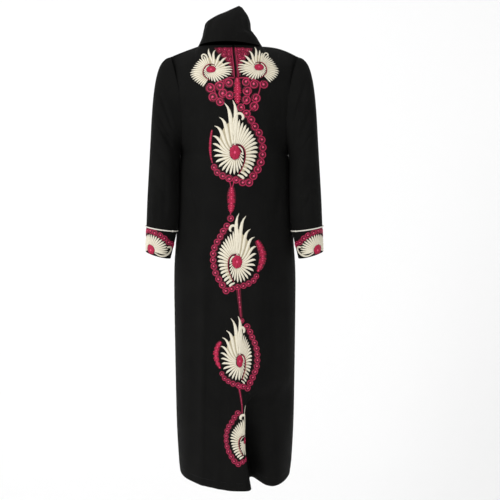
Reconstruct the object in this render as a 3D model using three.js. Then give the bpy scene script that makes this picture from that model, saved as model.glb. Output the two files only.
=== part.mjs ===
// Abaya: a long straight black over-dress with set-in sleeves, banded cuffs and a soft hood.
// Every piece of cloth is a thin wall of its own, parted from its neighbour by the seam gap,
// and the whole keeps the hollow form that it has when worn. Units are millimetres, +Z is up,
// the front faces -Y, and the origin lies between the shoulders where the garment is carried.
// Left and right are the wearer's, so the left sleeve is on +X.
import * as THREE from 'three';

const { lerp, smoothstep, degToRad } = THREE.MathUtils;

// ---------------------------------------------------------------- driving dimensions
const LENGTH = 1372;          // shoulder to hem, a 54 inch abaya
const WALL = 2;               // cloth with its turnings
const SEAM_GAP = 0.3;         // between two pieces sewn together

const UNDERARM_Z = -335;
const SHOULDER_TIP = { x: 198, z: -37 };
const UNDERARM_X = 168;
const ARMHOLE_HALF_DEPTH = 70;      // along Y
const ARMHOLE_HOLLOW = 20;          // how far its front and back curve in
const SHOULDER_CROWN = { right: 1, left: 8 };     // rise of the shoulder seam above a straight line

const NECK = { x: -13, halfWidth: 100, halfDepth: 67, frontZ: -10, backZ: 0 };
const SLIT_ANGLE = 6.3;             // where the slit starts on the neckline, from its front
const SLIT_LENGTH = 102;
const SLIT_WIDTH = 3;

const PANEL_SIDE_TURN = 35;         // how much less a panel turns towards the armholes, in degrees
const PANEL_BEND_SHARE = 0.6;       // share of the front over which the slit's row levels out
const SHOULDER_FALL = { centre: 3, side: 7, share: 0.8 };   // how soon cloth leaves the shoulder line
const SHOULDER_LEAN = 0.25;         // outward lean of the wall along the shoulder seams

const CUFF_HEIGHT = 90;             // along the sleeve
const PIPING_RADIUS = 1.9;

// Columns and rows of the cloth grids. Columns are counted from the centre line to each side.
const ARMHOLE_ROWS = 12;
const SKIRT_ROWS = 14;
const SLIT_ROWS = 5;
const FRONT_COLUMNS = { right: { neck: 11, shoulder: 7 }, left: { neck: 14, shoulder: 10 } };
const BACK_COLUMNS = { right: { neck: 6, shoulder: 6 }, left: { neck: 6, shoulder: 6 } };
const SLEEVE_ROWS = 12;
const CUFF_ROWS = 2;
const HOOD_ROWS = 11;
const PIPING_SIDES = 5;

// The body's plan at each height: half width at the side seams, depth in front and behind.
const BODY = [
  { z: -335, side: 168, front: 128, back: 108 },
  { z: -409, side: 176.5, front: 128, back: 108 },
  { z: -483, side: 181, front: 130, back: 110 },
  { z: -557, side: 183.5, front: 135, back: 117 },
  { z: -631, side: 190, front: 141, back: 124 },
  { z: -705, side: 195, front: 147, back: 131 },
  { z: -813, side: 196, front: 153, back: 138 },
  { z: -1084, side: 194.5, front: 168, back: 152 },
  { z: -1222, side: 192.5, front: 178, back: 162 },
  { z: -1341, side: 187, front: 187, back: 169 },
  { z: -LENGTH, side: 184, front: 188, back: 171 },
];

// Where the centre front line runs: the front hangs a little to the wearer's left lower down.
const CENTRE_FRONT = [
  { z: NECK.frontZ, x: -2 },
  { z: NECK.frontZ - SLIT_LENGTH, x: 8 },
  { z: -335, x: 6 },
  { z: -700, x: 9 },
  { z: -1000, x: 14 },
  { z: -1200, x: 19 },
  { z: -LENGTH, x: 22 },
];

// The deep step fold of the hem, on the left half of the front. Share runs along the cloth
// from the centre front (0) to the side seam (1).
const STEP_FOLD_TOP_Z = -1030;
const STEP_FOLD = [
  { share: 0.000, x: 22, y: -188 },
  { share: 0.060, x: 43, y: -187 },      // lip
  { share: 0.085, x: 46, y: -179 },
  { share: 0.210, x: 43, y: -128 },
  { share: 0.310, x: 41, y: -86 },       // back of the fold
  { share: 0.345, x: 49, y: -82 },
  { share: 0.450, x: 73, y: -112 },
  { share: 0.540, x: 98, y: -142 },
  { share: 0.620, x: 124, y: -150 },     // crest beside it
  { share: 0.760, x: 154, y: -120 },
  { share: 0.880, x: 176, y: -64 },
  { share: 1.000, x: 184, y: 0 },
];

// Soft folds: a trough (or a crest, where depth is negative) between two places. Along its
// length a fold fades in from start to full, and fades out from waning to end.
const FOLD_FADE = { start: -0.12, full: 0.3, waning: 0.75, end: 1.12 };
const FRONT_FOLDS = [
  { topX: -120, topZ: -420, lowX: -132, lowZ: -1372, depth: 6, width: 26 },
  { topX: -62, topZ: -560, lowX: -70, lowZ: -1372, depth: 5, width: 24 },
  { topX: 74, topZ: -520, lowX: 84, lowZ: -1100, depth: -6, width: 26 },
  { topX: 132, topZ: -470, lowX: 146, lowZ: -1120, depth: 7, width: 24 },
  { topX: -128, topZ: -120, lowX: -150, lowZ: -330, depth: 7, width: 22 },
  { topX: 134, topZ: -110, lowX: 150, lowZ: -330, depth: 7, width: 22 },
];
const BACK_FOLDS = [
  { topX: -128, topZ: -130, lowX: -140, lowZ: -360, depth: 7, width: 22 },
  { topX: 126, topZ: -120, lowX: 142, lowZ: -350, depth: 7, width: 22 },
  { topX: -110, topZ: -430, lowX: -124, lowZ: -1372, depth: 8, width: 26 },
  { topX: -38, topZ: -500, lowX: -44, lowZ: -1372, depth: 7, width: 26 },
  { topX: 34, topZ: -420, lowX: 48, lowZ: -1372, depth: 8, width: 24 },
  { topX: 108, topZ: -520, lowX: 128, lowZ: -1372, depth: 7, width: 26 },
];

// Sections of a sleeve: its outer and inner line seen from the front, half depth along Y,
// how far forward its middle hangs, and how clear of the body its inner side stays. The
// first section is the armhole.
const SLEEVE = [
  { outX: 198, outZ: -37, inX: 168, inZ: -335, depth: 70, forward: 0, clear: 1.2 },
  { outX: 215, outZ: -44, inX: 171, inZ: -346, depth: 73, forward: 1, clear: 1.2 },
  { outX: 231, outZ: -64, inX: 173, inZ: -361, depth: 73, forward: 5, clear: 1.2 },
  { outX: 242, outZ: -100, inX: 174.5, inZ: -384, depth: 71, forward: 12, clear: 1.2 },
  { outX: 250, outZ: -150, inX: 175.5, inZ: -411, depth: 68, forward: 20, clear: 1.2 },
  { outX: 256, outZ: -215, inX: 176, inZ: -442, depth: 64, forward: 27, clear: 1.2 },
  { outX: 261, outZ: -296, inX: 176.5, inZ: -478, depth: 60, forward: 33, clear: 1.2 },
  { outX: 267, outZ: -388, inX: 176.5, inZ: -515, depth: 56, forward: 37, clear: 1.2 },
  { outX: 273, outZ: -480, inX: 177.5, inZ: -548, depth: 53, forward: 40, clear: 3 },
  { outX: 277, outZ: -562, inX: 180.5, inZ: -577, depth: 51, forward: 42, clear: 5.3 },
];
const WRIST = SLEEVE[SLEEVE.length - 1];
const CUFF_END = { outX: 280, outZ: -641, inX: 202, inZ: -664, depth: 47, forward: 44, clear: 5.3 };

const SLEEVE_HOLLOW_END = 0.45;     // share of the sleeve over which the armhole's hollow fades
const SLEEVE_FOLD_START = 0.12;     // share of the sleeve over which its creases begin

// Creases that radiate from the underarm over the front and the back of each sleeve.
const SLEEVE_FOLDS = {
  right: [
    { topX: 246, topZ: -175, lowX: 196, lowZ: -300, depth: 10, width: 15 },
    { topX: 250, topZ: -300, lowX: 200, lowZ: -380, depth: 5, width: 16 },
  ],
  left: [
    { topX: 240, topZ: -185, lowX: 196, lowZ: -330, depth: 9, width: 15 },
    { topX: 262, topZ: -330, lowX: 205, lowZ: -470, depth: 5, width: 16 },
  ],
};

// Plan of the hood at each height. It stands folded over the neck and rises to one peak.
const HOOD = [
  { z: -10, right: -112, left: 88, front: -80, back: 60 },
  { z: 11, right: -98, left: 75, front: -86, back: 64 },
  { z: 23, right: -95, left: 67, front: -86, back: 63 },
  { z: 33, right: -93, left: 55, front: -83, back: 62 },
  { z: 45, right: -91, left: 52, front: -77, back: 58 },
  { z: 62, right: -83, left: 49, front: -64, back: 50 },
  { z: 80, right: -53, left: 42, front: -45, back: 36 },
  { z: 90, right: -30, left: 35, front: -32, back: 27 },
  { z: 98, right: -15, left: 29, front: -22, back: 18 },
  { z: 104, right: -1, left: 23, front: -12, back: 9 },
];
const HOOD_PEAK = new THREE.Vector3(13, -1, 110);
// Height of the hood's free edge across the front, by angle from the centre front.
const HOOD_EDGE = [
  { angle: -90, z: -4.7 },
  { angle: -62, z: 6 },
  { angle: -20, z: 13 },
  { angle: 15, z: 12 },
  { angle: 50, z: 2 },
  { angle: 75, z: -5 },
  { angle: 90, z: -4.7 },
];
const HOOD_FREE_ANGLE = 80;         // the hood is sewn to the neckline outside this angle
const HOOD_EDGE_SHARE = 0.25;       // share of its height over which the hood leaves its edge

// ---------------------------------------------------------------- materials
const crepe = () => new THREE.MeshStandardMaterial({ color: '#1b1b1d', roughness: 0.85, metalness: 0 });
const cord = () => new THREE.MeshStandardMaterial({ color: '#dedccf', roughness: 0.6, metalness: 0 });

// ---------------------------------------------------------------- small helpers
// Reads one column of a table at any place, with a smooth curve through its rows.
function read(table, by, at, column) {
  const down = table[0][by] > table[table.length - 1][by];
  const reached = (row) => (down ? row[by] >= at : row[by] <= at);
  let i = 0;
  while (i < table.length - 2 && reached(table[i + 1])) i += 1;
  const slope = (k) => {
    const a = table[Math.max(k - 1, 0)];
    const b = table[Math.min(k + 1, table.length - 1)];
    return (b[column] - a[column]) / (b[by] - a[by]);
  };
  const [a, b] = [table[i], table[i + 1]];
  const span = b[by] - a[by];
  const t = THREE.MathUtils.clamp((at - a[by]) / span, 0, 1);
  const [t2, t3] = [t * t, t * t * t];
  return (2 * t3 - 3 * t2 + 1) * a[column] + (t3 - 2 * t2 + t) * span * slope(i)
    + (-2 * t3 + 3 * t2) * b[column] + (t3 - t2) * span * slope(i + 1);
}

// Depth of a set of soft folds at a place seen from the front or the back.
function foldDepth(folds, x, z) {
  let depth = 0;
  for (const fold of folds) {
    const along = (fold.topZ - z) / (fold.topZ - fold.lowZ);
    const middle = lerp(fold.topX, fold.lowX, THREE.MathUtils.clamp(along, 0, 1));
    const across = (x - middle) / fold.width;
    const fadeIn = smoothstep(along, FOLD_FADE.start, FOLD_FADE.full);
    const fadeOut = fold.lowZ <= -LENGTH ? 1 : 1 - smoothstep(along, FOLD_FADE.waning, FOLD_FADE.end);
    depth += fold.depth * fadeIn * fadeOut * Math.exp(-across * across);
  }
  return depth;
}

// Turns a sheet of quads into a closed cloth wall: its faces, the same faces one wall
// thickness inside, and a strip along every free edge. Where pieces meet at a seam, both
// use the same edge direction, so their walls lie side by side.
function clothWall(name, sheet, material) {
  const { points, faces, edgeDirections } = sheet;
  const normals = points.map(() => new THREE.Vector3());
  for (const face of faces) {
    const [a, b, c] = face.map((i) => points[i]);
    const d = points[face[face.length - 1]];
    const normal = c.clone().sub(a).cross(d.clone().sub(b));
    if (face.length === 3) normal.copy(b.clone().sub(a).cross(c.clone().sub(a)));
    for (const i of face) normals[i].add(normal);
  }
  const inner = points.map((point, i) => {
    const direction = edgeDirections.get(i) ?? normals[i];
    return point.clone().addScaledVector(direction.clone().normalize(), -WALL);
  });
  const edges = new Set();
  for (const face of faces) {
    face.forEach((a, k) => edges.add(`${a},${face[(k + 1) % face.length]}`));
  }
  const count = points.length;
  const triangles = [];
  for (const face of faces) {
    for (let k = 1; k < face.length - 1; k += 1) {
      triangles.push(face[0], face[k], face[k + 1]);
      triangles.push(face[0] + count, face[k + 1] + count, face[k] + count);
    }
    face.forEach((a, k) => {
      const b = face[(k + 1) % face.length];
      if (!edges.has(`${b},${a}`)) triangles.push(b, a, a + count, b, a + count, b + count);
    });
  }
  return solid(name, [...points, ...inner], triangles, material);
}

function solid(name, points, triangles, material) {
  const geometry = new THREE.BufferGeometry();
  const positions = points.flatMap((point) => point.toArray());
  geometry.setAttribute('position', new THREE.Float32BufferAttribute(positions, 3));
  geometry.setIndex(triangles);
  geometry.computeVertexNormals();
  const mesh = new THREE.Mesh(geometry, material);
  mesh.name = name;
  return mesh;
}

// ---------------------------------------------------------------- armhole and neckline
// One loop for each arm: angle 0 is the shoulder tip, 90 the front, 180 the underarm.
function armholePoint(side, angle) {
  const turn = degToRad(angle);
  const height = (1 + Math.cos(turn)) / 2;
  const x = lerp(UNDERARM_X, SHOULDER_TIP.x, height) - ARMHOLE_HOLLOW * Math.sin(turn) ** 2;
  const z = lerp(UNDERARM_Z, SHOULDER_TIP.z, height);
  return new THREE.Vector3(side * x, -ARMHOLE_HALF_DEPTH * Math.sin(turn), z);
}

function armholeDirection(angle) {
  const turn = degToRad(angle);
  const halfHeight = (SHOULDER_TIP.z - UNDERARM_Z) / 2;
  return new THREE.Vector3(0, -Math.sin(turn) / ARMHOLE_HALF_DEPTH, Math.cos(turn) / halfHeight).normalize();
}

// Angle 0 is the centre front, 90 the wearer's left shoulder, 180 the centre back.
function necklinePoint(angle) {
  const turn = degToRad(angle);
  return new THREE.Vector3(
    NECK.x + NECK.halfWidth * Math.sin(turn),
    -NECK.halfDepth * Math.cos(turn),
    lerp(NECK.frontZ, NECK.backZ, (1 - Math.cos(turn)) / 2),
  );
}

function necklineDirection(angle) {
  const turn = degToRad(angle);
  const out = new THREE.Vector3(Math.sin(turn) / NECK.halfWidth, -Math.cos(turn) / NECK.halfDepth, 0);
  return out.normalize().add(new THREE.Vector3(0, 0, 1)).normalize();
}

// ---------------------------------------------------------------- front and back panels
// One point of a panel. Face is -1 for the front and 1 for the back, side is -1 for the
// wearer's right and 1 for the left, share runs from the centre line (0) to the side (1).
function panelPoint(face, side, share, neckShare, row) {
  const centreX = (z) => (face < 0
    ? read(CENTRE_FRONT, 'z', z, 'x')
    : lerp(NECK.x, 0, smoothstep(-z, 0, -UNDERARM_Z)));
  const depthColumn = face < 0 ? 'front' : 'back';
  const folds = face < 0 ? FRONT_FOLDS : BACK_FOLDS;
  if (row > ARMHOLE_ROWS) {
    const down = (row - ARMHOLE_ROWS) / SKIRT_ROWS;
    const z = lerp(UNDERARM_Z, -LENGTH, down);
    const turn = share * Math.PI / 2;
    const middle = centreX(z);
    const plan = new THREE.Vector3(
      middle + (side * read(BODY, 'z', z, 'side') - middle) * Math.sin(turn),
      face * read(BODY, 'z', z, depthColumn) * Math.cos(turn),
      z,
    );
    plan.y -= face * foldDepth(folds, plan.x, z) * Math.cos(turn);
    if (face < 0 && side > 0 && z < STEP_FOLD_TOP_Z) {
      const grown = smoothstep(STEP_FOLD_TOP_Z - z, 0, LENGTH + STEP_FOLD_TOP_Z);
      plan.x = lerp(plan.x, read(STEP_FOLD, 'share', share, 'x'), grown);
      plan.y = lerp(plan.y, read(STEP_FOLD, 'share', share, 'y'), grown);
    }
    return plan;
  }
  const angle = 180 * row / ARMHOLE_ROWS;
  const fallen = (1 - Math.cos(degToRad(angle))) / 2;
  const arm = armholePoint(side, angle);
  const top = topEdgePoint(face, side, share, neckShare);
  const slitRow = (1 - Math.cos(Math.PI * SLIT_ROWS / ARMHOLE_ROWS)) / 2;
  const slitShare = SLIT_LENGTH / (NECK.frontZ - UNDERARM_Z);
  const slitBend = Math.log(slitShare) / Math.log(slitRow);
  const bend = face < 0 ? lerp(slitBend, 1, smoothstep(share, 0, PANEL_BEND_SHARE)) : 1;
  const z = lerp(top.z, UNDERARM_Z, fallen ** bend);
  const fullTurn = degToRad(90 - PANEL_SIDE_TURN * Math.sin(degToRad(angle)));
  const turn = share * fullTurn;
  const middle = centreX(z);
  const edgeY = face * Math.abs(arm.y);
  const centreY = face * read(BODY, 'z', UNDERARM_Z, depthColumn);
  const x = middle + (arm.x - middle) * Math.sin(turn) / Math.sin(fullTurn);
  const y = lerp(centreY, edgeY, (1 - Math.cos(turn)) / (1 - Math.cos(fullTurn)));
  const fall = lerp(SHOULDER_FALL.centre, SHOULDER_FALL.side, smoothstep(share, 0, SHOULDER_FALL.share));
  const settled = 1 - (1 - fallen) ** fall;
  const point = new THREE.Vector3(lerp(top.x, x, settled), lerp(top.y, y, settled), z);
  if (share === 1) return new THREE.Vector3(arm.x, edgeY, arm.z);
  point.y -= face * foldDepth(folds, point.x, z) * Math.cos(share * Math.PI / 2);
  return point;
}

// The neckline's angle at a column: the front is divided at the slit, the back at its middle.
function necklineAngle(face, side, quarter) {
  return face < 0 ? lerp(SLIT_ANGLE, side * 90, quarter) : 180 - side * 90 * quarter;
}

// The top edge of a panel: half the neckline, then the shoulder seam out to the armhole.
function topEdgePoint(face, side, share, neckShare) {
  if (share <= neckShare) {
    return necklinePoint(necklineAngle(face, side, share / neckShare));
  }
  const along = (share - neckShare) / (1 - neckShare);
  const seam = necklinePoint(side * 90).lerp(armholePoint(side, 0), along);
  seam.z += (side < 0 ? SHOULDER_CROWN.right : SHOULDER_CROWN.left) * Math.sin(Math.PI * along);
  return seam;
}

// Lays out one panel as a grid of points, from side seam to side seam and from the top
// edge to the hem. The front is open down the slit, so its centre column is double there.
function panelSheet(face, columns, slitRows) {
  const points = [];
  const faces = [];
  const edgeDirections = new Map();
  const halves = [
    { side: -1, ...columns.right },
    { side: 1, ...columns.left },
  ];
  const ids = halves.map(() => []);
  for (let row = 0; row <= ARMHOLE_ROWS + SKIRT_ROWS; row += 1) {
    halves.forEach(({ side, neck, shoulder }, half) => {
      const count = neck + shoulder;
      ids[half][row] = [];
      for (let column = 0; column <= count; column += 1) {
        if (column === 0 && half === 1 && row >= slitRows) {
          ids[1][row][0] = ids[0][row][0];
          continue;
        }
        const point = panelPoint(face, side, column / count, neck / count, row);
        if (column === 0 && row < slitRows) point.x += side * SLIT_WIDTH / 2;
        if (face * point.y < SEAM_GAP / 2) point.y = face * SEAM_GAP / 2;
        const direction = edgeDirection(face, side, column, { neck, count }, row);
        if (direction) edgeDirections.set(points.length, direction);
        ids[half][row][column] = points.length;
        points.push(point);
      }
    });
  }
  halves.forEach(({ side }, half) => {
    for (let row = 1; row < ids[half].length; row += 1) {
      for (let column = 1; column < ids[half][row].length; column += 1) {
        const quad = [ids[half][row - 1][column - 1], ids[half][row][column - 1],
          ids[half][row][column], ids[half][row - 1][column]];
        faces.push(face * side < 0 ? quad : quad.reverse());
      }
    }
  });
  return { points, faces, edgeDirections };
}

// The direction of the wall along a seam, shared by the pieces that meet there.
function edgeDirection(face, side, column, { neck, count }, row) {
  if (column === count && row <= ARMHOLE_ROWS) {
    const angle = 180 * row / ARMHOLE_ROWS;
    return armholeDirection(face < 0 ? angle : -angle);
  }
  if (column === count) return new THREE.Vector3(side, 0, 0);
  if (row === 0 && column > neck) return new THREE.Vector3(side * SHOULDER_LEAN, 0, 1);
  if (row === 0) return necklineDirection(necklineAngle(face, side, column / neck));
  return null;
}

// ---------------------------------------------------------------- sleeves, cuffs, piping
// One ring of a tube: it lies between its outer and inner line, as deep as it is stated,
// and its inner side rests flat against the body.
function tubePoint(side, section, angle) {
  const turn = degToRad(angle);
  const height = (1 + Math.cos(turn)) / 2;
  const x = lerp(section.inX, section.outX, height);
  const y = -section.forward - section.depth * Math.sin(turn);
  const z = lerp(section.inZ, section.outZ, height);
  const body = z < UNDERARM_Z ? bodyHalfWidth(z, y) + section.clear : 0;
  return new THREE.Vector3(side * Math.max(x, body), y, z);
}

function bodyHalfWidth(z, y) {
  const depth = read(BODY, 'z', z, y < 0 ? 'front' : 'back');
  return read(BODY, 'z', z, 'side') * Math.sqrt(Math.max(0, 1 - (y / depth) ** 2));
}

function sleevePoint(side, row, angle) {
  const place = row / SLEEVE_ROWS;
  const stations = SLEEVE.map((section, i) => ({ ...section, place: i / (SLEEVE.length - 1) }));
  const section = {};
  for (const column of Object.keys(SLEEVE[0])) section[column] = read(stations, 'place', place, column);
  const point = tubePoint(side, section, angle);
  const hollow = ARMHOLE_HOLLOW * Math.sin(degToRad(angle)) ** 2;
  point.x -= side * hollow * (1 - smoothstep(place, 0, SLEEVE_HOLLOW_END));
  const folds = side < 0 ? SLEEVE_FOLDS.right : SLEEVE_FOLDS.left;
  const facing = Math.sin(degToRad(angle));
  point.y += foldDepth(folds, Math.abs(point.x), point.z) * facing * smoothstep(place, 0, SLEEVE_FOLD_START);
  return point;
}

// A tube of cloth from rings of points, and the wall directions at its first and last ring.
function tubeSheet(side, rings, firstDirections, lastDirections = []) {
  const count = rings[0].length;
  const points = rings.flat();
  const faces = [];
  const edgeDirections = new Map();
  const last = points.length - count;
  firstDirections.forEach((direction, i) => edgeDirections.set(i, direction));
  lastDirections.forEach((direction, i) => edgeDirections.set(last + i, direction));
  for (let row = 1; row < rings.length; row += 1) {
    for (let i = 0; i < count; i += 1) {
      const next = (i + 1) % count;
      const quad = [(row - 1) * count + i, row * count + i, row * count + next, (row - 1) * count + next];
      faces.push(side < 0 ? quad : quad.reverse());
    }
  }
  return { points, faces, edgeDirections };
}

const ringAngles = Array.from({ length: 2 * ARMHOLE_ROWS }, (_, i) => 180 * i / ARMHOLE_ROWS);

function sleeveSheet(side) {
  const rings = [];
  for (let row = 0; row <= SLEEVE_ROWS; row += 1) {
    rings.push(ringAngles.map((angle) => sleevePoint(side, row, angle)));
  }
  rings[0] = ringAngles.map((angle) => armholePoint(side, angle));
  const directions = ringAngles.map((angle) => armholeDirection(angle));
  rings[0].forEach((point, i) => {
    const after = rings[0][(i + 1) % rings[0].length];
    const before = rings[0][(i + rings[0].length - 1) % rings[0].length];
    const across = after.clone().sub(before).cross(directions[i]).normalize();
    if (across.x * side < 0) across.negate();
    rings[0][i] = point.clone().addScaledVector(across, SEAM_GAP);
  });
  return tubeSheet(side, rings, directions, ringAngles.map((angle) => wristDirection(side, angle)));
}

// The direction of the wall at the wrist seam, which the sleeve and the cuff share.
function wristDirection(side, angle) {
  const turn = degToRad(angle);
  const out = new THREE.Vector3(side * (WRIST.outX - WRIST.inX), 0, WRIST.outZ - WRIST.inZ).normalize();
  return out.multiplyScalar(Math.cos(turn)).setY(-Math.sin(turn)).normalize();
}

// The cuff band goes on where the sleeve ends.
function cuffSheet(side) {
  const rings = [];
  for (let row = 0; row <= CUFF_ROWS; row += 1) {
    const section = {};
    const along = lerp(SEAM_GAP / CUFF_HEIGHT, 1, row / CUFF_ROWS);
    for (const column of Object.keys(WRIST)) section[column] = lerp(WRIST[column], CUFF_END[column], along);
    rings.push(ringAngles.map((angle) => tubePoint(side, section, angle)));
  }
  return tubeSheet(side, rings, ringAngles.map((angle) => wristDirection(side, angle)));
}

// The piping is a round cord that lies on the seam between sleeve and cuff.
function piping(name, side) {
  const points = [];
  const triangles = [];
  const count = ringAngles.length;
  ringAngles.forEach((angle) => {
    const out = wristDirection(side, angle);
    const centre = tubePoint(side, WRIST, angle).addScaledVector(out, PIPING_RADIUS + SEAM_GAP);
    for (let k = 0; k < PIPING_SIDES; k += 1) {
      const turn = 2 * Math.PI * k / PIPING_SIDES;
      const point = centre.clone().addScaledVector(out, PIPING_RADIUS * Math.cos(turn));
      point.z += PIPING_RADIUS * Math.sin(turn);
      points.push(point);
    }
  });
  for (let i = 0; i < count; i += 1) {
    for (let k = 0; k < PIPING_SIDES; k += 1) {
      const a = i * PIPING_SIDES + k;
      const b = i * PIPING_SIDES + (k + 1) % PIPING_SIDES;
      const c = ((i + 1) % count) * PIPING_SIDES + (k + 1) % PIPING_SIDES;
      const d = ((i + 1) % count) * PIPING_SIDES + k;
      triangles.push(...(side > 0 ? [a, b, c, a, c, d] : [a, d, c, a, c, b]));
    }
  }
  return solid(name, points, triangles, cord());
}

// ---------------------------------------------------------------- hood
// The hood is one piece of cloth, sewn to the neckline at the sides and the back. Its free
// edge hangs across the front of the neck.
function hoodAngles() {
  const angles = [];
  const { right, left } = FRONT_COLUMNS;
  const back = BACK_COLUMNS;
  for (let i = right.neck; i > 0; i -= 1) angles.push(necklineAngle(-1, -1, i / right.neck));
  for (let i = 0; i < left.neck; i += 1) angles.push(necklineAngle(-1, 1, i / left.neck));
  for (let i = back.left.neck; i > 0; i -= 1) angles.push(necklineAngle(1, 1, i / back.left.neck));
  for (let i = 0; i < back.right.neck; i += 1) angles.push(necklineAngle(1, -1, i / back.right.neck));
  return angles;
}

function hoodPlan(z, angle) {
  const turn = degToRad(angle);
  const [right, left, front, back] = ['right', 'left', 'front', 'back'].map((column) => read(HOOD, 'z', z, column));
  return new THREE.Vector3(
    (right + left) / 2 + (left - right) / 2 * Math.sin(turn),
    (front + back) / 2 - (back - front) / 2 * Math.cos(turn),
    z,
  );
}

function hoodSheet() {
  const angles = hoodAngles();
  const points = [];
  const faces = [];
  const edgeDirections = new Map();
  const lastZ = HOOD[HOOD.length - 1].z;
  const upward = new THREE.Vector3(0, 0, 1);
  for (let row = 0; row < HOOD_ROWS; row += 1) {
    const rise = row / (HOOD_ROWS - 1);
    for (const angle of angles) {
      const sewn = angle > HOOD_FREE_ANGLE || angle < -HOOD_FREE_ANGLE;
      const edgeZ = sewn ? necklinePoint(angle).z : read(HOOD_EDGE, 'angle', angle, 'z');
      const edge = sewn ? necklinePoint(angle) : hoodPlan(edgeZ, angle);
      if (sewn) {
        const inward = necklineDirection(angle).setZ(0).normalize().negate();
        edge.addScaledVector(inward.add(upward).normalize(), SEAM_GAP);
      }
      const point = hoodPlan(lerp(edgeZ, lastZ, rise), angle);
      if (row === 0 && sewn) edgeDirections.set(points.length, necklineDirection(angle));
      points.push(edge.lerp(point, smoothstep(rise, 0, HOOD_EDGE_SHARE)));
    }
  }
  const count = angles.length;
  for (let row = 1; row < HOOD_ROWS; row += 1) {
    for (let i = 0; i < count; i += 1) {
      const next = (i + 1) % count;
      faces.push([(row - 1) * count + i, (row - 1) * count + next, row * count + next, row * count + i]);
    }
  }
  const peak = points.length;
  points.push(HOOD_PEAK.clone());
  const lastRow = (HOOD_ROWS - 1) * count;
  for (let i = 0; i < count; i += 1) faces.push([lastRow + i, lastRow + (i + 1) % count, peak]);
  return { points, faces, edgeDirections };
}

// ---------------------------------------------------------------- the garment
const abaya = new THREE.Group();
abaya.add(clothWall('front', panelSheet(-1, FRONT_COLUMNS, SLIT_ROWS), crepe()));
abaya.add(clothWall('back', panelSheet(1, BACK_COLUMNS, 0), crepe()));
for (const [hand, side] of [['right', -1], ['left', 1]]) {
  abaya.add(clothWall(`sleeve_${hand}`, sleeveSheet(side), crepe()));
  abaya.add(clothWall(`cuff_${hand}`, cuffSheet(side), crepe()));
  abaya.add(piping(`piping_${hand}`, side));
}
abaya.add(clothWall('hood', hoodSheet(), crepe()));

export default abaya;
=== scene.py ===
# A long black abaya in its worn form: front and back panels, set-in sleeves, piped and
# embroidered cuffs, a soft hood, and a column of feathered paisleys sewn down the front.
# Sizes are millimetres in the garment's own frame: +Z up, the front faces -Y, and the
# origin lies between the shoulders. MM turns them to metres where a mesh is made.
import math
import random
import bmesh
import bpy
import numpy as np
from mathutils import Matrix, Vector
from mathutils.bvhtree import BVHTree


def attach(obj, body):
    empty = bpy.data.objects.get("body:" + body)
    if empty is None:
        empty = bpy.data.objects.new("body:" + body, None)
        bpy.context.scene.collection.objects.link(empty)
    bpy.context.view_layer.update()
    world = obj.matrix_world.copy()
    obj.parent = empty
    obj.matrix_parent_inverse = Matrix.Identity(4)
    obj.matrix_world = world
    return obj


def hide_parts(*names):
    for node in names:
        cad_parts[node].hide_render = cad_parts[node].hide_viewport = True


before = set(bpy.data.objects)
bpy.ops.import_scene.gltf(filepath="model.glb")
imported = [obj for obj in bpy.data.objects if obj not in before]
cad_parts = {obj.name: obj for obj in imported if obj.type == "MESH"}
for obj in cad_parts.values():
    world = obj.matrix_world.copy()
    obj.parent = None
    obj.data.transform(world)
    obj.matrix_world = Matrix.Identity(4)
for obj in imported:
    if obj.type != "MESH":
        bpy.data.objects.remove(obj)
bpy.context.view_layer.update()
bpy.ops.object.select_all(action="DESELECT")
MM = 0.001

# ---------------------------------------------------------------- front panel
# One piece of black crepe from the neckline and the shoulder seams to the hem, open in a
# slit at the centre front. It is joined to the back at the shoulders and the sides, and
# hangs in soft upright folds with one deep step fold at the wearer's left of the hem.
LENGTH = 1372
UNDERARM_Z = -335
UNDERARM_X = 168
SHOULDER_TIP_X = 198
SHOULDER_TIP_Z = -37
ARMHOLE_HALF_DEPTH = 70
ARMHOLE_HOLLOW = 20
SHOULDER_CROWN = {-1: 1, 1: 8}
NECK_X = -13
NECK_HALF_WIDTH = 100
NECK_HALF_DEPTH = 67
NECK_FRONT_Z = -10
SLIT_ANGLE = 6.3
SLIT_LENGTH = 102
SLIT_WIDTH = 3
CLOTH = 1.2                     # thickness of the crepe


def table(columns, *rows):
    """Rows of numbers under named columns."""
    return [dict(zip(columns.split(), row)) for row in rows]


# The body's plan at each height: half width at the side seams, depth in front and behind.
BODY = table(
    "z side front back",
    (-335, 168, 128, 108),
    (-409, 176.5, 128, 108),
    (-483, 181, 130, 110),
    (-557, 183.5, 135, 117),
    (-631, 190, 141, 124),
    (-705, 195, 147, 131),
    (-813, 196, 153, 138),
    (-1084, 194.5, 168, 152),
    (-1222, 192.5, 178, 162),
    (-1341, 187, 187, 169),
    (-LENGTH, 184, 188, 171),
)
CENTRE_FRONT = table(
    "z x",
    (NECK_FRONT_Z, -2),
    (NECK_FRONT_Z - SLIT_LENGTH, 8),
    (-335, 6),
    (-700, 9),
    (-1000, 14),
    (-1200, 19),
    (-LENGTH, 22),
)
STEP_FOLD_TOP_Z = -1030
# The step fold's line along the hem, from the centre front (0) to the side seam (1).
STEP_FOLD = table(
    "share x y",
    (0.000, 22, -188),
    (0.038, 34, -187),
    (0.062, 42, -182),
    (0.085, 46, -172),
    (0.210, 43, -128),
    (0.310, 41, -86),
    (0.345, 49, -82),
    (0.450, 73, -112),
    (0.540, 98, -142),
    (0.620, 124, -150),
    (0.760, 154, -120),
    (0.880, 176, -64),
    (1.000, 184, 0),
)
# How far the fold's lip lies to the side, from its top (0) down to the hem (1).
STEP_LIP_SHIFT = table("down shift", (0, -20), (0.3, -14), (0.66, -12), (1, 7))
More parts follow.
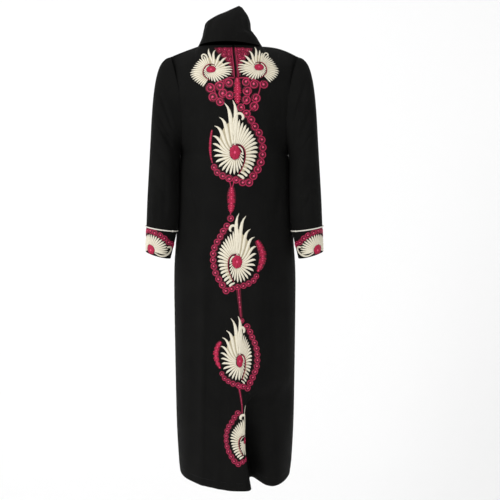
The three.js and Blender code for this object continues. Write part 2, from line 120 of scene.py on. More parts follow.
# Folds and creases, seen from the front: troughs where depth is positive, ridges where
# it is negative. Each runs from its top to its low end.
FRONT_FOLDS = table(
    "top_x top_z low_x low_z depth width",
    (-120, -420, -132, -LENGTH, 9, 25),
    (-62, -560, -70, -LENGTH, 7, 23),
    (74, -520, 84, -1100, -8, 26),
    (132, -470, 146, -1120, 10, 23),
    (-128, -120, -150, -330, 7, 22),
    (134, -110, 150, -330, 7, 22),
    (-112, -190, -158, -352, 9, 11),        # drag lines that run to the underarms
    (-132, -262, -166, -345, 6, 7),
    (118, -205, 156, -340, 7, 11),
    (140, -150, 152, -300, 4, 7),
    (-158, -350, -120, -520, 4, 10),
    (158, -350, 128, -540, 4, 11),
    (-146, -640, -158, -1180, 3, 11),       # soft hanging folds of the skirt
    (-94, -480, -101, -1240, -3.5, 12),
    (-84, -900, -92, -LENGTH, 3, 9),
    (-30, -760, -34, -LENGTH, 3, 12),
    (46, -820, 50, -1130, 8, 17),
    (104, -620, 112, -1060, 4, 12),
    (160, -760, 168, -1300, 3, 10),
    (-48, -140, -96, -300, 2.5, 12),
    (52, -130, 92, -310, 2.5, 11),
)
ARM_ROWS = 72
SKIRT_ROWS = 126
SLIT_ROWS = 30
FRONT_HALVES = table("side neck count", (-1, 44, 72), (1, 56, 96))
JOINED_COLUMNS = 14             # either side of a centre line that two halves share
# The body's plan turns 90 degrees from its centre line to the side seam, and this much
# less at the middle of the armhole, where the cloth stops short of the side.
ARMHOLE_LESS_TURN = 50
SETTLING = (3, 7)               # how soon cloth takes the body's form, at the centre and the arm
# Where a fold or crease fades in and out, in shares of its length.
FOLD_START = (-0.12, 0.3)
FOLD_END = (0.75, 1.12)
# Uneven puckers beside a sewn edge, and how far and how deep the seam draws the cloth in.
PUCKER = dict(apart=(14, 46), depth=(0.1, 0.6), length=(4, 8), beside=7)
SEWN = dict(reach=3.0, depth=0.5)
MERGE_DISTANCE = 0.02


def mix(a, b, t):
    return a + (b - a) * t


def smooth(t, low=0.0, high=1.0):
    t = np.clip((t - low) / (high - low), 0.0, 1.0)
    return t * t * (3 - 2 * t)


def read(rows, by, at, column):
    """One column of a table at any place, on a smooth curve through its rows."""
    down = rows[0][by] > rows[-1][by]
    i = 0
    while i < len(rows) - 2 and (rows[i + 1][by] >= at if down else rows[i + 1][by] <= at):
        i += 1

    def slope(k):
        a, b = rows[max(k - 1, 0)], rows[min(k + 1, len(rows) - 1)]
        return (b[column] - a[column]) / (b[by] - a[by])

    a, b = rows[i], rows[i + 1]
    span = b[by] - a[by]
    t = min(max((at - a[by]) / span, 0), 1)
    t2, t3 = t * t, t * t * t
    return ((2 * t3 - 3 * t2 + 1) * a[column] + (t3 - 2 * t2 + t) * span * slope(i)
            + (-2 * t3 + 3 * t2) * b[column] + (t3 - t2) * span * slope(i + 1))


def fold_depth(folds, x, z):
    """Depth of a set of folds over arrays of places seen from the front or the back."""
    depth = np.zeros_like(x)
    for fold in folds:
        along = (fold["top_z"] - z) / (fold["top_z"] - fold["low_z"])
        middle = mix(fold["top_x"], fold["low_x"], np.clip(along, 0, 1))
        fade = smooth(along, *FOLD_START)
        if fold["low_z"] > -LENGTH:
            fade = fade * (1 - smooth(along, *FOLD_END))
        depth += fold["depth"] * fade * np.exp(-((x - middle) / fold["width"]) ** 2)
    return depth


def armhole_point(side, angle):
    """A point on an armhole's seam, by angle from the shoulder's tip over the front."""
    turn = math.radians(angle)
    height = (1 + math.cos(turn)) / 2
    x = mix(UNDERARM_X, SHOULDER_TIP_X, height) - ARMHOLE_HOLLOW * math.sin(turn) ** 2
    return side * x, -ARMHOLE_HALF_DEPTH * math.sin(turn), mix(UNDERARM_Z, SHOULDER_TIP_Z, height)


def neckline_point(angle):
    """A point on the neckline, by angle from the front towards the wearer's left."""
    turn = math.radians(angle)
    return (NECK_X + NECK_HALF_WIDTH * math.sin(turn), -NECK_HALF_DEPTH * math.cos(turn),
            mix(NECK_FRONT_Z, 0, (1 - math.cos(turn)) / 2))


def top_edge_point(face, side, share, neck_share):
    """Half the neckline, then the shoulder seam out to the armhole."""
    if share <= neck_share:
        quarter = share / neck_share
        if face < 0:
            return neckline_point(mix(SLIT_ANGLE, side * 90, quarter))
        return neckline_point(180 - side * 90 * quarter)
    along = (share - neck_share) / (1 - neck_share)
    neck, tip = neckline_point(side * 90), armhole_point(side, 0)
    x, y, z = (mix(a, b, along) for a, b in zip(neck, tip))
    return x, y, z + SHOULDER_CROWN[side] * math.sin(math.pi * along)


def centre_x(face, z):
    """How far to the side a panel's centre line lies."""
    if face < 0:
        return read(CENTRE_FRONT, "z", z, "x")
    return mix(NECK_X, 0, smooth(-z, 0, -UNDERARM_Z))


def skirt_point(face, side, share, z, level):
    """A point below the underarms: on the body's plan, or on the step fold near the hem."""
    turn = share * math.pi / 2
    x = level["middle"] + (side * level["side"] - level["middle"]) * math.sin(turn)
    y = face * level["depth"] * math.cos(turn)
    if face < 0 and side > 0 and z < STEP_FOLD_TOP_Z:
        down = (STEP_FOLD_TOP_Z - z) / (LENGTH + STEP_FOLD_TOP_Z)
        # The lip has its own shift, and the side seam keeps to the body's plan.
        lip = smooth(share, 0, 0.06) * (1 - smooth(share, 0.35, 0.6))
        seam = (level["side"] - STEP_FOLD[-1]["x"]) * smooth(share, 0.62, 1)
        shift = read(STEP_LIP_SHIFT, "down", down, "shift") * lip
        folded = read(STEP_FOLD, "share", share, "x") + shift + seam
        x = mix(x, folded, smooth(down, 0, 0.3))
        y = mix(y, read(STEP_FOLD, "share", share, "y"), smooth(down))
    return x, y, z


def bodice_point(face, side, share, neck_share, angle):
    """A point above the underarms, where the cloth falls from the neck and the shoulders."""
    fallen = (1 - math.cos(math.radians(angle))) / 2
    arm = armhole_point(side, angle)
    edge_y = face * abs(arm[1])
    if share == 1:
        return arm[0], edge_y, arm[2]
    top = top_edge_point(face, side, share, neck_share)
    slit_row = (1 - math.cos(math.pi * SLIT_ROWS / ARM_ROWS)) / 2
    slit_bend = math.log(SLIT_LENGTH / (NECK_FRONT_Z - UNDERARM_Z)) / math.log(slit_row)
    bend = mix(slit_bend, 1, smooth(share, 0, 0.6)) if face < 0 else 1
    z = mix(top[2], UNDERARM_Z, fallen ** bend)
    full_turn = math.radians(90 - ARMHOLE_LESS_TURN * math.sin(math.radians(angle)))
    turn = share * full_turn
    middle = centre_x(face, z)
    centre_y = face * read(BODY, "z", UNDERARM_Z, "front" if face < 0 else "back")
    x = middle + (arm[0] - middle) * math.sin(turn) / math.sin(full_turn)
    y = mix(centre_y, edge_y, (1 - math.cos(turn)) / (1 - math.cos(full_turn)))
    settled = 1 - (1 - fallen) ** mix(*SETTLING, smooth(share, 0, 0.8))
    return mix(top[0], x, settled), mix(top[1], y, settled), z


def half_panel(face, side, neck, count, skirt_rows, folds):
    """One half of a panel as an array of points, rows down and columns out from the centre."""
    shares = [column / count for column in range(count + 1)]
    rows = []
    for row in range(ARM_ROWS):
        angle = 180 * row / ARM_ROWS
        rows.append([bodice_point(face, side, share, neck / count, angle) for share in shares])
    for row in range(skirt_rows + 1):
        z = mix(UNDERARM_Z, -LENGTH, row / skirt_rows)
        level = {"middle": centre_x(face, z), "side": read(BODY, "z", z, "side"),
                 "depth": read(BODY, "z", z, "front" if face < 0 else "back")}
        rows.append([skirt_point(face, side, share, z, level) for share in shares])
    grid = np.array(rows, dtype=float)
    x, z = grid[..., 0], grid[..., 2]
    hold = np.cos(np.array(shares) * math.pi / 2)[None, :] * np.ones_like(x)
    if face < 0 and side > 0:
        hold = hold * (1 - smooth(STEP_FOLD_TOP_Z - z, 0, LENGTH + STEP_FOLD_TOP_Z))
    fallen = np.arange(grid.shape[0])[:, None] / ARM_ROWS
    grid[..., 1] -= face * fold_depth(folds, x, z) * hold * smooth(fallen, 0, 0.3)
    return grid


def lengths_along(points, axis=0):
    """The length from the first place to each of them, along one axis of an array."""
    lengths = np.zeros(points.shape[:-1])
    walked = np.cumsum(np.linalg.norm(np.diff(points, axis=axis), axis=-1), axis=axis)
    if axis == 0:
        lengths[1:] = walked
    else:
        lengths[:, 1:] = walked
    return lengths


def grid_normals(grid, closed=False):
    """Unit normals of a grid of points, which may be closed round its columns."""
    if closed:
        across = np.roll(grid, -1, axis=1) - np.roll(grid, 1, axis=1)
    else:
        across = np.gradient(grid, axis=1)
    normals = np.cross(across, np.gradient(grid, axis=0))
    return normals / np.maximum(np.linalg.norm(normals, axis=2, keepdims=True), 1e-9)


def sewn_edge(grid, normals, seed):
    """Draws cloth in along the seam at its last column, with uneven puckers beside it."""
    rng = random.Random(seed)
    across = lengths_along(grid, axis=1)
    from_edge = across[:, -1:] - across
    down = lengths_along(grid[:, -1])
    pucker = np.zeros(grid.shape[0])
    at = 0.0
    while at < down[-1]:
        at += rng.uniform(*PUCKER["apart"])
        depth = rng.uniform(*PUCKER["depth"])
        pucker += depth * np.exp(-((down - at) / rng.uniform(*PUCKER["length"])) ** 2)
    drawn = np.exp(-(from_edge / SEWN["reach"]) ** 2) * SEWN["depth"]
    beside = np.exp(-((from_edge - PUCKER["beside"]) / PUCKER["beside"]) ** 2) * pucker[:, None]
    return grid - normals * (drawn + beside)[..., None]


def joined(halves, first_row):
    """Brings two halves of a panel to one shared centre line below their first joined row."""
    middle = (halves[0][first_row:, :1] + halves[1][first_row:, :1]) / 2
    for half in halves:
        near = 1 - smooth(np.arange(half.shape[1]) / JOINED_COLUMNS)
        half[first_row:] += (middle - half[first_row:, :1]) * near[None, :, None]


def lay_flat(mesh, flat):
    """Gives a mesh the flat lay of its cloth or its thread, in metres, as UV."""
    lay = mesh.uv_layers.new(name="cloth")
    index = np.zeros(len(mesh.loops), dtype=np.int32)
    mesh.loops.foreach_get("vertex_index", index)
    lay.data.foreach_set("uv", np.array(flat, dtype=np.float32)[index].ravel())


def cloth_mesh(name, grids, closed, cap):
    """One cloth shell from grids of points in millimetres, with its flat lay as UV."""
    points, faces, flat = [], [], []
    for grid in grids:
        rows, columns = grid.shape[:2]
        start = len(points)
        across, down = lengths_along(grid, axis=1), lengths_along(grid)
        points += [tuple(p * MM) for p in grid.reshape(-1, 3)]
        flat += list(zip((across * MM).ravel(), (down * MM).ravel()))
        for row in range(rows - 1):
            for column in range(columns if closed else columns - 1):
                after = (column + 1) % columns
                faces.append((start + row * columns + column, start + (row + 1) * columns + column,
                              start + (row + 1) * columns + after, start + row * columns + after))
        if cap is not None:
            last = start + (rows - 1) * columns
            points.append(tuple(np.array(cap) * MM))
            flat.append((0.0, 0.0))
            for column in range(columns):
                faces.append((last + column, len(points) - 1, last + (column + 1) % columns))
    mesh = bpy.data.meshes.new(name)
    mesh.from_pydata(points, [], faces)
    lay_flat(mesh, flat)
    return mesh


def cloth_piece(name, grids, outward, closed=False, cap=None):
    """Makes a piece of cloth: merged, turned the right way out, and given its thickness."""
    mesh = cloth_mesh(name, grids, closed, cap)
    build = bmesh.new()
    build.from_mesh(mesh)
    bmesh.ops.remove_doubles(build, verts=build.verts, dist=MERGE_DISTANCE * MM)
    build.faces.ensure_lookup_table()
    middle = build.faces[len(build.faces) // 3]
    if middle.normal.dot(outward(middle.calc_center_median())) < 0:
        bmesh.ops.reverse_faces(build, faces=build.faces)
    build.to_mesh(mesh)
    build.free()
    mesh.polygons.foreach_set("use_smooth", [True] * len(mesh.polygons))
    piece = bpy.data.objects.new(name, mesh)
    bpy.context.collection.objects.link(piece)
    shell = piece.modifiers.new("thickness", "SOLIDIFY")
    shell.thickness = CLOTH * MM
    shell.offset = -1
    return piece


def colour(hex_code):
    """An sRGB hex value as the linear colour that a shader takes."""
    parts = [int(hex_code[i:i + 2], 16) / 255 for i in (1, 3, 5)]
    linear = (c / 12.92 if c <= 0.04045 else ((c + 0.055) / 1.055) ** 2.4 for c in parts)
    return (*linear, 1.0)


def add_node(tree, kind, inputs=None, **settings):
    """Adds a node with its settings; an input is a value or another node's socket."""
    node = tree.nodes.new(kind)
    for key, value in settings.items():
        setattr(node, key, value)
    for key, value in (inputs or {}).items():
        if isinstance(value, bpy.types.NodeSocket):
            tree.links.new(value, node.inputs[key])
        else:
            node.inputs[key].default_value = value
    return node


def new_material(name, roughness, sheen, specular, sheen_roughness=0.5, sheen_tint="#ffffff"):
    """A material with its node tree and its shader."""
    material = bpy.data.materials.new(name)
    material.use_nodes = True
    shader = material.node_tree.nodes["Principled BSDF"]
    shader.inputs["Roughness"].default_value = roughness
    shader.inputs["Sheen Weight"].default_value = sheen
    shader.inputs["Sheen Roughness"].default_value = sheen_roughness
    shader.inputs["Sheen Tint"].default_value = colour(sheen_tint)
    shader.inputs["Specular IOR Level"].default_value = specular
    return material, material.node_tree, shader


# Black polyester crepe: dull, with a faint pebbled grain from its twisted yarn. The real
# threads lie 0.35 mm apart, too fine to show, so the weave is drawn 1.1 mm apart.
THREAD_SPACING = 0.0011
CREPE_GRAIN = 0.0035
WAVE_PERIOD = 2 * math.pi / 20        # of a wave texture at scale 1


def woven_crepe():
    material, tree, shader = new_material("black_woven_crepe", 0.8, 0.03, 0.05, 0.4, "#8c8b88")
    lay = add_node(tree, "ShaderNodeUVMap", uv_map="cloth").outputs["UV"]
    place = add_node(tree, "ShaderNodeTexCoord").outputs["Object"]
    threads = []
    for direction in ("X", "Y"):
        wave = add_node(tree, "ShaderNodeTexWave",
                        {"Vector": lay, "Scale": WAVE_PERIOD / THREAD_SPACING, "Distortion": 1.5,
                         "Detail": 1.0, "Detail Scale": 2.0},
                        bands_direction=direction)
        threads.append(wave.outputs["Fac"])
    weave = add_node(tree, "ShaderNodeMath", {0: threads[0], 1: threads[1]}, operation="ADD")
    pebble = add_node(tree, "ShaderNodeTexNoise",
                      {"Vector": place, "Scale": 1 / CREPE_GRAIN, "Detail": 3.0})
    grain = add_node(tree, "ShaderNodeMath",
                     {0: pebble.outputs["Fac"], 1: 1.6, 2: weave.outputs[0]},
                     operation="MULTIPLY_ADD")
    bump = add_node(tree, "ShaderNodeBump",
                    {"Height": grain.outputs[0], "Strength": 0.35, "Distance": 0.0004})
    cloudy = add_node(tree, "ShaderNodeTexNoise", {"Vector": place, "Scale": 14.0, "Detail": 2.0})
    shade = add_node(tree, "ShaderNodeMix",
                     {"Factor": cloudy.outputs["Fac"], 6: colour("#0a0a0a"), 7: colour("#121211")},
                     data_type="RGBA")
    tree.links.new(shade.outputs[2], shader.inputs["Base Color"])
    tree.links.new(bump.outputs["Normal"], shader.inputs["Normal"])
    return material


crepe = woven_crepe()
front_grids = []
for half in FRONT_HALVES:
    grid = half_panel(-1, half["side"], half["neck"], half["count"], SKIRT_ROWS, FRONT_FOLDS)
    normals = grid_normals(grid) * half["side"]
    grid = sewn_edge(grid, normals, seed=11 + half["side"])
    slit = np.arange(grid.shape[0]) < SLIT_ROWS
    grid[slit, 0, 0] += half["side"] * SLIT_WIDTH / 2
    grid[..., 1] = np.minimum(grid[..., 1], -0.1)
    front_grids.append(grid)
joined(front_grids, SLIT_ROWS)
front = cloth_piece("front_panel", [front_grids[0], front_grids[1][:, ::-1]],
                    lambda at: Vector((0, -1, 0)))
front.data.materials.append(crepe)
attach(front, "root")
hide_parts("front")

# ---------------------------------------------------------------- back panel
# One piece of the same crepe, cut in one with no centre seam. It hangs from the shoulder
# seams in broad folds that start below the shoulder blades.
BACK_FOLDS = table(
    "top_x top_z low_x low_z depth width",
    (-128, -130, -140, -360, 7, 22),
    (126, -120, 142, -350, 7, 22),
    (-110, -430, -124, -LENGTH, 8, 26),
    (-38, -500, -44, -LENGTH, 7, 26),
    (34, -420, 48, -LENGTH, 8, 24),
    (108, -520, 128, -LENGTH, 7, 26),
    (-104, -170, -156, -345, 4, 9),
    (112, -190, 160, -350, 5, 8),
    (-150, -340, -130, -560, 3.5, 11),
    (154, -345, 122, -500, 4, 9),
    (-72, -560, -80, -1290, -4, 14),
    (4, -640, 6, -LENGTH, -4, 15),
    (82, -480, 90, -1180, -3.5, 13),
    (-150, -700, -160, -LENGTH, 4, 12),
    (156, -820, 164, -LENGTH, 3.5, 11),
    (-20, -70, -34, -300, 2.5, 16),
    (28, -90, 40, -260, 2, 14),
)
BACK_HALVES = table("side neck count", (-1, 24, 48), (1, 24, 48))
BACK_SKIRT_ROWS = 98

back_grids = []
for half in BACK_HALVES:
    grid = half_panel(1, half["side"], half["neck"], half["count"], BACK_SKIRT_ROWS, BACK_FOLDS)
    normals = grid_normals(grid) * -half["side"]
    grid = sewn_edge(grid, normals, seed=23 + half["side"])
    grid[..., 1] = np.maximum(grid[..., 1], 0.1)
    back_grids.append(grid)
joined(back_grids, 0)
back = cloth_piece("back_panel", [back_grids[0], back_grids[1][:, ::-1]],
                   lambda at: Vector((0, 1, 0)))
back.data.materials.append(crepe)
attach(back, "root")
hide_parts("back")

# ---------------------------------------------------------------- sleeves
# Two tubes of crepe, set into the armholes and sewn up under the arm. They hang a little
# forward, and creases run out from the underarm seam.
SLEEVE = table(
    "out_x out_z in_x in_z depth forward clear",
    (198, -37, 168, -335, 70, 0, 1.2),
    (215, -44, 171, -346, 71, 0, 1.2),
    (231, -64, 171, -361, 72, 3, 0.4),
    (242, -100, 171, -384, 71, 12, 0.2),
    (250, -150, 171, -411, 68, 20, 0.2),
    (256, -215, 171, -442, 64, 27, 0.2),
    (261, -296, 171.5, -478, 60, 33, 0.4),
    (267, -388, 173, -515, 56, 37, 1.0),
    (273, -480, 176, -548, 53, 40, 3),
    (277, -562, 180.5, -577, 51, 42, 5.3),
)
CUFF_END = dict(out_x=280, out_z=-641, in_x=202, in_z=-664, depth=47, forward=44, clear=5.3)
for place, section in enumerate(SLEEVE):
    section["place"] = place / (len(SLEEVE) - 1)
WRIST = SLEEVE[-1]
SLEEVE_FOLDS = {
    -1: table(
        "top_x top_z low_x low_z depth width",
        (240, -190, 188, -306, 12, 15),
        (250, -300, 200, -380, 5, 16),
        (228, -150, 186, -268, 5, 7),
        (240, -238, 190, -318, 5, 7),
        (262, -392, 206, -470, 3.5, 10),
        (244, -440, 252, -560, -3, 9),
        (208, -380, 216, -540, 3, 9),
    ),
    1: table(
        "top_x top_z low_x low_z depth width",
        (242, -185, 194, -322, 10, 15),
        (262, -330, 205, -470, 5, 16),
        (222, -110, 182, -250, 5, 7),
        (246, -262, 192, -352, 5, 8),
        (258, -420, 212, -510, 3.5, 9),
        (236, -400, 246, -555, -3, 9),
        (206, -430, 214, -560, 3, 8),
    ),
}
HANDS = (("right", -1), ("left", 1))
RING = 96
SLEEVE_ROWS = 108
ARMHOLE_SEAM = dict(reach=3, depth=0.3)     # how the seam draws the sleeve in


def outward_from(x, y):
    """Tells which way is out of a tube of cloth that stands round a place in plan."""
    return lambda at: Vector((at.x - x * MM, at.y - y * MM, 0))


def body_half_width(z, y):
    """How far to the side the body of the garment reaches at a height and a depth."""
    depth = read(BODY, "z", z, "front" if y < 0 else "back")
    return read(BODY, "z", z, "side") * math.sqrt(max(0, 1 - (y / depth) ** 2))


def tube_point(side, section, angle):
    """A point round a sleeve or a cuff, by angle from its outer line over the front."""
    turn = math.radians(angle)
    height = (1 + math.cos(turn)) / 2
    x = mix(section["in_x"], section["out_x"], height)
    y = -section["forward"] - section["depth"] * math.sin(turn)
    z = mix(section["in_z"], section["out_z"], height)
    body = body_half_width(z, y) + section["clear"] if z < UNDERARM_Z else 0
    return side * max(x, body), y, z


def sleeve_grid(side):
    angles = [360 * i / RING for i in range(RING)]
    rows = [[armhole_point(side, angle) for angle in angles]]
    for row in range(1, SLEEVE_ROWS + 1):
        place = row / SLEEVE_ROWS
        section = {column: read(SLEEVE, "place", place, column) for column in SLEEVE[0]}
        hollow = ARMHOLE_HOLLOW * (1 - smooth(place, 0, 0.45))
        ring = []
        for angle in angles:
            x, y, z = tube_point(side, section, angle)
            ring.append((x - side * hollow * math.sin(math.radians(angle)) ** 2, y, z))
        rows.append(ring)
    grid = np.array(rows)
    facing = np.sin(np.radians(angles))[None, :]
    start = smooth(np.arange(SLEEVE_ROWS + 1)[:, None] / SLEEVE_ROWS, 0, 0.12)
    depth = fold_depth(SLEEVE_FOLDS[side], np.abs(grid[..., 0]), grid[..., 2])
    grid[..., 1] += depth * facing * start
    return grid


for hand, side in HANDS:
    grid = sleeve_grid(side)
    normals = grid_normals(grid, closed=True) * side
    outside = np.sign(np.sum(normals[SLEEVE_ROWS // 2] * np.array((side, 0, 0)), axis=1)[0])
    drawn = ARMHOLE_SEAM["depth"] * np.exp(-(lengths_along(grid) / ARMHOLE_SEAM["reach"]) ** 2)
    grid = grid - normals * outside * drawn[..., None]
    sleeve = cloth_piece(f"sleeve_{hand}_cloth", [grid], outward_from(side * 225, -35), closed=True)
    sleeve.data.materials.append(crepe)
    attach(sleeve, "root")
    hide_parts(f"sleeve_{hand}")

# ---------------------------------------------------------------- hood
# One piece of crepe, sewn to the neckline at the sides and the back. It stands folded over
# the neck and rises to a soft peak, and its free edge hangs across the front.
HOOD = table(
    "z right left front back",
    (-10, -112, 88, -80, 60),
    (11, -102, 75, -86, 64),
    (24, -98, 67, -86, 63),
    (34, -96, 55, -83, 62),
    (47, -93, 52, -77, 58),
    (66, -86, 50, -64, 50),
    (86, -56, 43, -45, 36),
    (97, -30, 36, -32, 27),
    (105, -13, 30, -22, 18),
    (112, 2, 25, -12, 9),
)
HOOD_PEAK = (15, -1, 118)
HOOD_EDGE = table(
    "angle z",
    (-90, -4.7),
    (-62, -3),
    (-20, -1),
    (15, -2),
    (50, -6),
    (75, -7),
    (90, -4.7),
)
HOOD_FREE_ANGLE = 80
HOOD_ROWS = 72
HOOD_COLUMNS = 128
# Creases of the hood: angle round it, heights, lean and width in degrees, and depth.
HOOD_CREASES = table(
    "angle low_z high_z lean depth width",
    (-58, 8, 84, 10, 3.0, 7),
    (-34, 16, 70, 8, 1.6, 8),
    (8, 22, 96, 10, 1.8, 9),
    (40, 12, 92, -8, 2.2, 8),
    (64, 20, 78, -6, 2.6, 7),
    (118, 6, 80, 8, 3.0, 10),
    (160, 14, 90, -10, 2.4, 12),
    (205, 8, 86, 8, 3.0, 11),
    (244, 18, 74, 6, 2.4, 9),
)
# The bend across the wearer's left of the hood, where it folds over.
NOTCH = dict(z=33, from_angle=52, to_angle=104, fade=16, depth=3.5, height=4.5)


def hood_plan(z, angle):
    """A point of the hood's smooth form, by height and angle round it."""
    turn = math.radians(angle)
    right, left = read(HOOD, "z", z, "right"), read(HOOD, "z", z, "left")
    front_y, back_y = read(HOOD, "z", z, "front"), read(HOOD, "z", z, "back")
    return np.array(((right + left) / 2 + (left - right) / 2 * math.sin(turn),
                     (front_y + back_y) / 2 - (back_y - front_y) / 2 * math.cos(turn), z))


def hood_grid():
    rows = []
    for row in range(HOOD_ROWS + 1):
        rise = row / HOOD_ROWS
        ring = []
        for column in range(HOOD_COLUMNS):
            angle = -90 + 360 * column / HOOD_COLUMNS
            sewn = angle > HOOD_FREE_ANGLE or angle < -HOOD_FREE_ANGLE
            edge_z = neckline_point(angle)[2] if sewn else read(HOOD_EDGE, "angle", angle, "z")
            edge = np.array(neckline_point(angle)) if sewn else hood_plan(edge_z, angle)
            plan = hood_plan(mix(edge_z, HOOD[-1]["z"], rise), angle)
            ring.append(mix(edge, plan, smooth(rise, 0, 0.25)))
        rows.append(ring)
    return np.array(rows)


def hood_creases(grid, normals):
    angles = (-90 + 360 * np.arange(HOOD_COLUMNS) / HOOD_COLUMNS)[None, :] * np.ones(grid.shape[:2])
    z = grid[..., 2]
    depth = np.zeros(grid.shape[:2])
    for crease in HOOD_CREASES:
        along = (z - crease["low_z"]) / (crease["high_z"] - crease["low_z"])
        apart = (angles - crease["angle"] - crease["lean"] * along + 180) % 360 - 180
        fade = smooth(along, -0.1, 0.3) * (1 - smooth(along, 0.65, 1.1))
        depth += crease["depth"] * fade * np.exp(-(apart / crease["width"]) ** 2)
    start, end, fade = NOTCH["from_angle"], NOTCH["to_angle"], NOTCH["fade"]
    across = smooth(angles, start, start + fade) * (1 - smooth(angles, end - fade, end))
    depth += NOTCH["depth"] * across * np.exp(-((z - NOTCH["z"]) / NOTCH["height"]) ** 2)
    return grid - normals * depth[..., None]


grid = hood_grid()
grid = hood_creases(grid, -grid_normals(grid, closed=True))
hood = cloth_piece("hood_cloth", [grid[:, ::-1]], outward_from(-10, 0),
                   closed=True, cap=HOOD_PEAK)
hood.data.materials.append(crepe)
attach(hood, "root")
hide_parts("hood")

# ---------------------------------------------------------------- cuffs
# A band of crepe sewn round the end of each sleeve, with the piping caught in the seam.
# Its free edge is turned in at the hand.
CUFF_ROWS = 30
SEAM_GAP = 0.3
CUFF_HEIGHT = 90


def cuff_grid(side):
    rows = []
    for row in range(CUFF_ROWS + 1):
        along = mix(SEAM_GAP / CUFF_HEIGHT, 1, row / CUFF_ROWS)
        section = {column: mix(WRIST[column], CUFF_END[column], along) for column in CUFF_END}
        rows.append([tube_point(side, section, 360 * i / RING) for i in range(RING)])
    return np.array(rows)


cuff_grids = {}
for hand, side in HANDS:
    grid = cuff_grid(side)
    cuff_grids[side] = grid
    cuff = cloth_piece(f"cuff_{hand}_cloth", [grid], outward_from(side * 235, -43), closed=True)
    cuff.data.materials.append(crepe)
    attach(cuff, "root")
    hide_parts(f"cuff_{hand}")

# ---------------------------------------------------------------- piping
# A cream satin cord caught in the seam between each sleeve and its cuff. It goes all round
# and its ends are drawn together in a small knot at the inner front of the wrist.
PIPING_RADIUS = 1.9
PIPING_SIDES = 12
PIPING_LAY = 300                # length that the lay of its thread is drawn over
KNOT = dict(angle=138, radius=3.3, strands=3, relief=0.12, twist=0.6, height=0.8)
# Cream satin cut on the bias: smooth and softly glossy, with fine slanting threads. They
# lie 0.3 mm apart, too fine to show, so they are drawn 1.2 mm apart.
SATIN_SPACING = 0.0012
SATIN_RELIEF = 0.0003
SATIN_SLANT = 0.25


def satin_thread(name, shade, dark, roughness=0.46):
    """Rayon thread laid side by side across a band: it shines a little along its turns."""
    material, tree, shader = new_material(name, roughness, 0.05, 0.22, 0.35, shade)
    lay = add_node(tree, "ShaderNodeUVMap", uv_map="cloth").outputs["UV"]
    turned = add_node(tree, "ShaderNodeMapping", {"Vector": lay, "Rotation": (0, 0, SATIN_SLANT)})
    wave = add_node(tree, "ShaderNodeTexWave",
                    {"Vector": turned.outputs["Vector"], "Scale": WAVE_PERIOD / SATIN_SPACING,
                     "Distortion": 0.8, "Detail": 1.0},
                    bands_direction="X", wave_profile="SIN")
    place = add_node(tree, "ShaderNodeTexCoord").outputs["Object"]
    cloudy = add_node(tree, "ShaderNodeTexNoise", {"Vector": place, "Scale": 160.0, "Detail": 2.0})
    # Painted shade: the colour turns to the dark one in the gaps between the drawn threads, broken
    # up by random tone.
    thread_gap_shade_and_tone = add_node(tree, "ShaderNodeMath",
                    {0: wave.outputs["Fac"], 1: cloudy.outputs["Fac"], 2: 0.25},
                    operation="MULTIPLY_ADD")
    tint = add_node(tree, "ShaderNodeMix",
                    {"Factor": thread_gap_shade_and_tone.outputs[0], 6: colour(dark), 7: colour(shade)},
                    data_type="RGBA")
    bump = add_node(tree, "ShaderNodeBump",
                    {"Height": wave.outputs["Fac"], "Strength": 0.5, "Distance": SATIN_RELIEF})
    tree.links.new(tint.outputs[2], shader.inputs["Base Color"])
    tree.links.new(bump.outputs["Normal"], shader.inputs["Normal"])
    return material


def mesh_piece(name, points, faces, flat, materials, thread=None):
    """A smooth mesh from points in millimetres, with the lay of its thread as UV."""
    mesh = bpy.data.meshes.new(name)
    mesh.from_pydata([tuple(c * MM for c in p) for p in points], [], faces)
    lay_flat(mesh, np.array(flat, dtype=np.float32) * MM)
    for material in materials:
        mesh.materials.append(material)
    if thread:
        mesh.polygons.foreach_set("material_index", thread)
    mesh.polygons.foreach_set("use_smooth", [True] * len(mesh.polygons))
    piece = bpy.data.objects.new(name, mesh)
    bpy.context.collection.objects.link(piece)
    return piece


def wrist_out(side, angle):
    """The way straight out of the wrist at an angle round it."""
    turn = math.radians(angle)
    out = Vector((side * (WRIST["out_x"] - WRIST["in_x"]), 0, WRIST["out_z"] - WRIST["in_z"]))
    out = out.normalized() * math.cos(turn)
    out.y = -math.sin(turn)
    return out.normalized()


def piping_line(side, angle):
    """The cord's middle line in the wrist seam, and the way out of the wrist there."""
    out = wrist_out(side, angle)
    return Vector(tube_point(side, WRIST, angle)) + out * (PIPING_RADIUS + SEAM_GAP), out


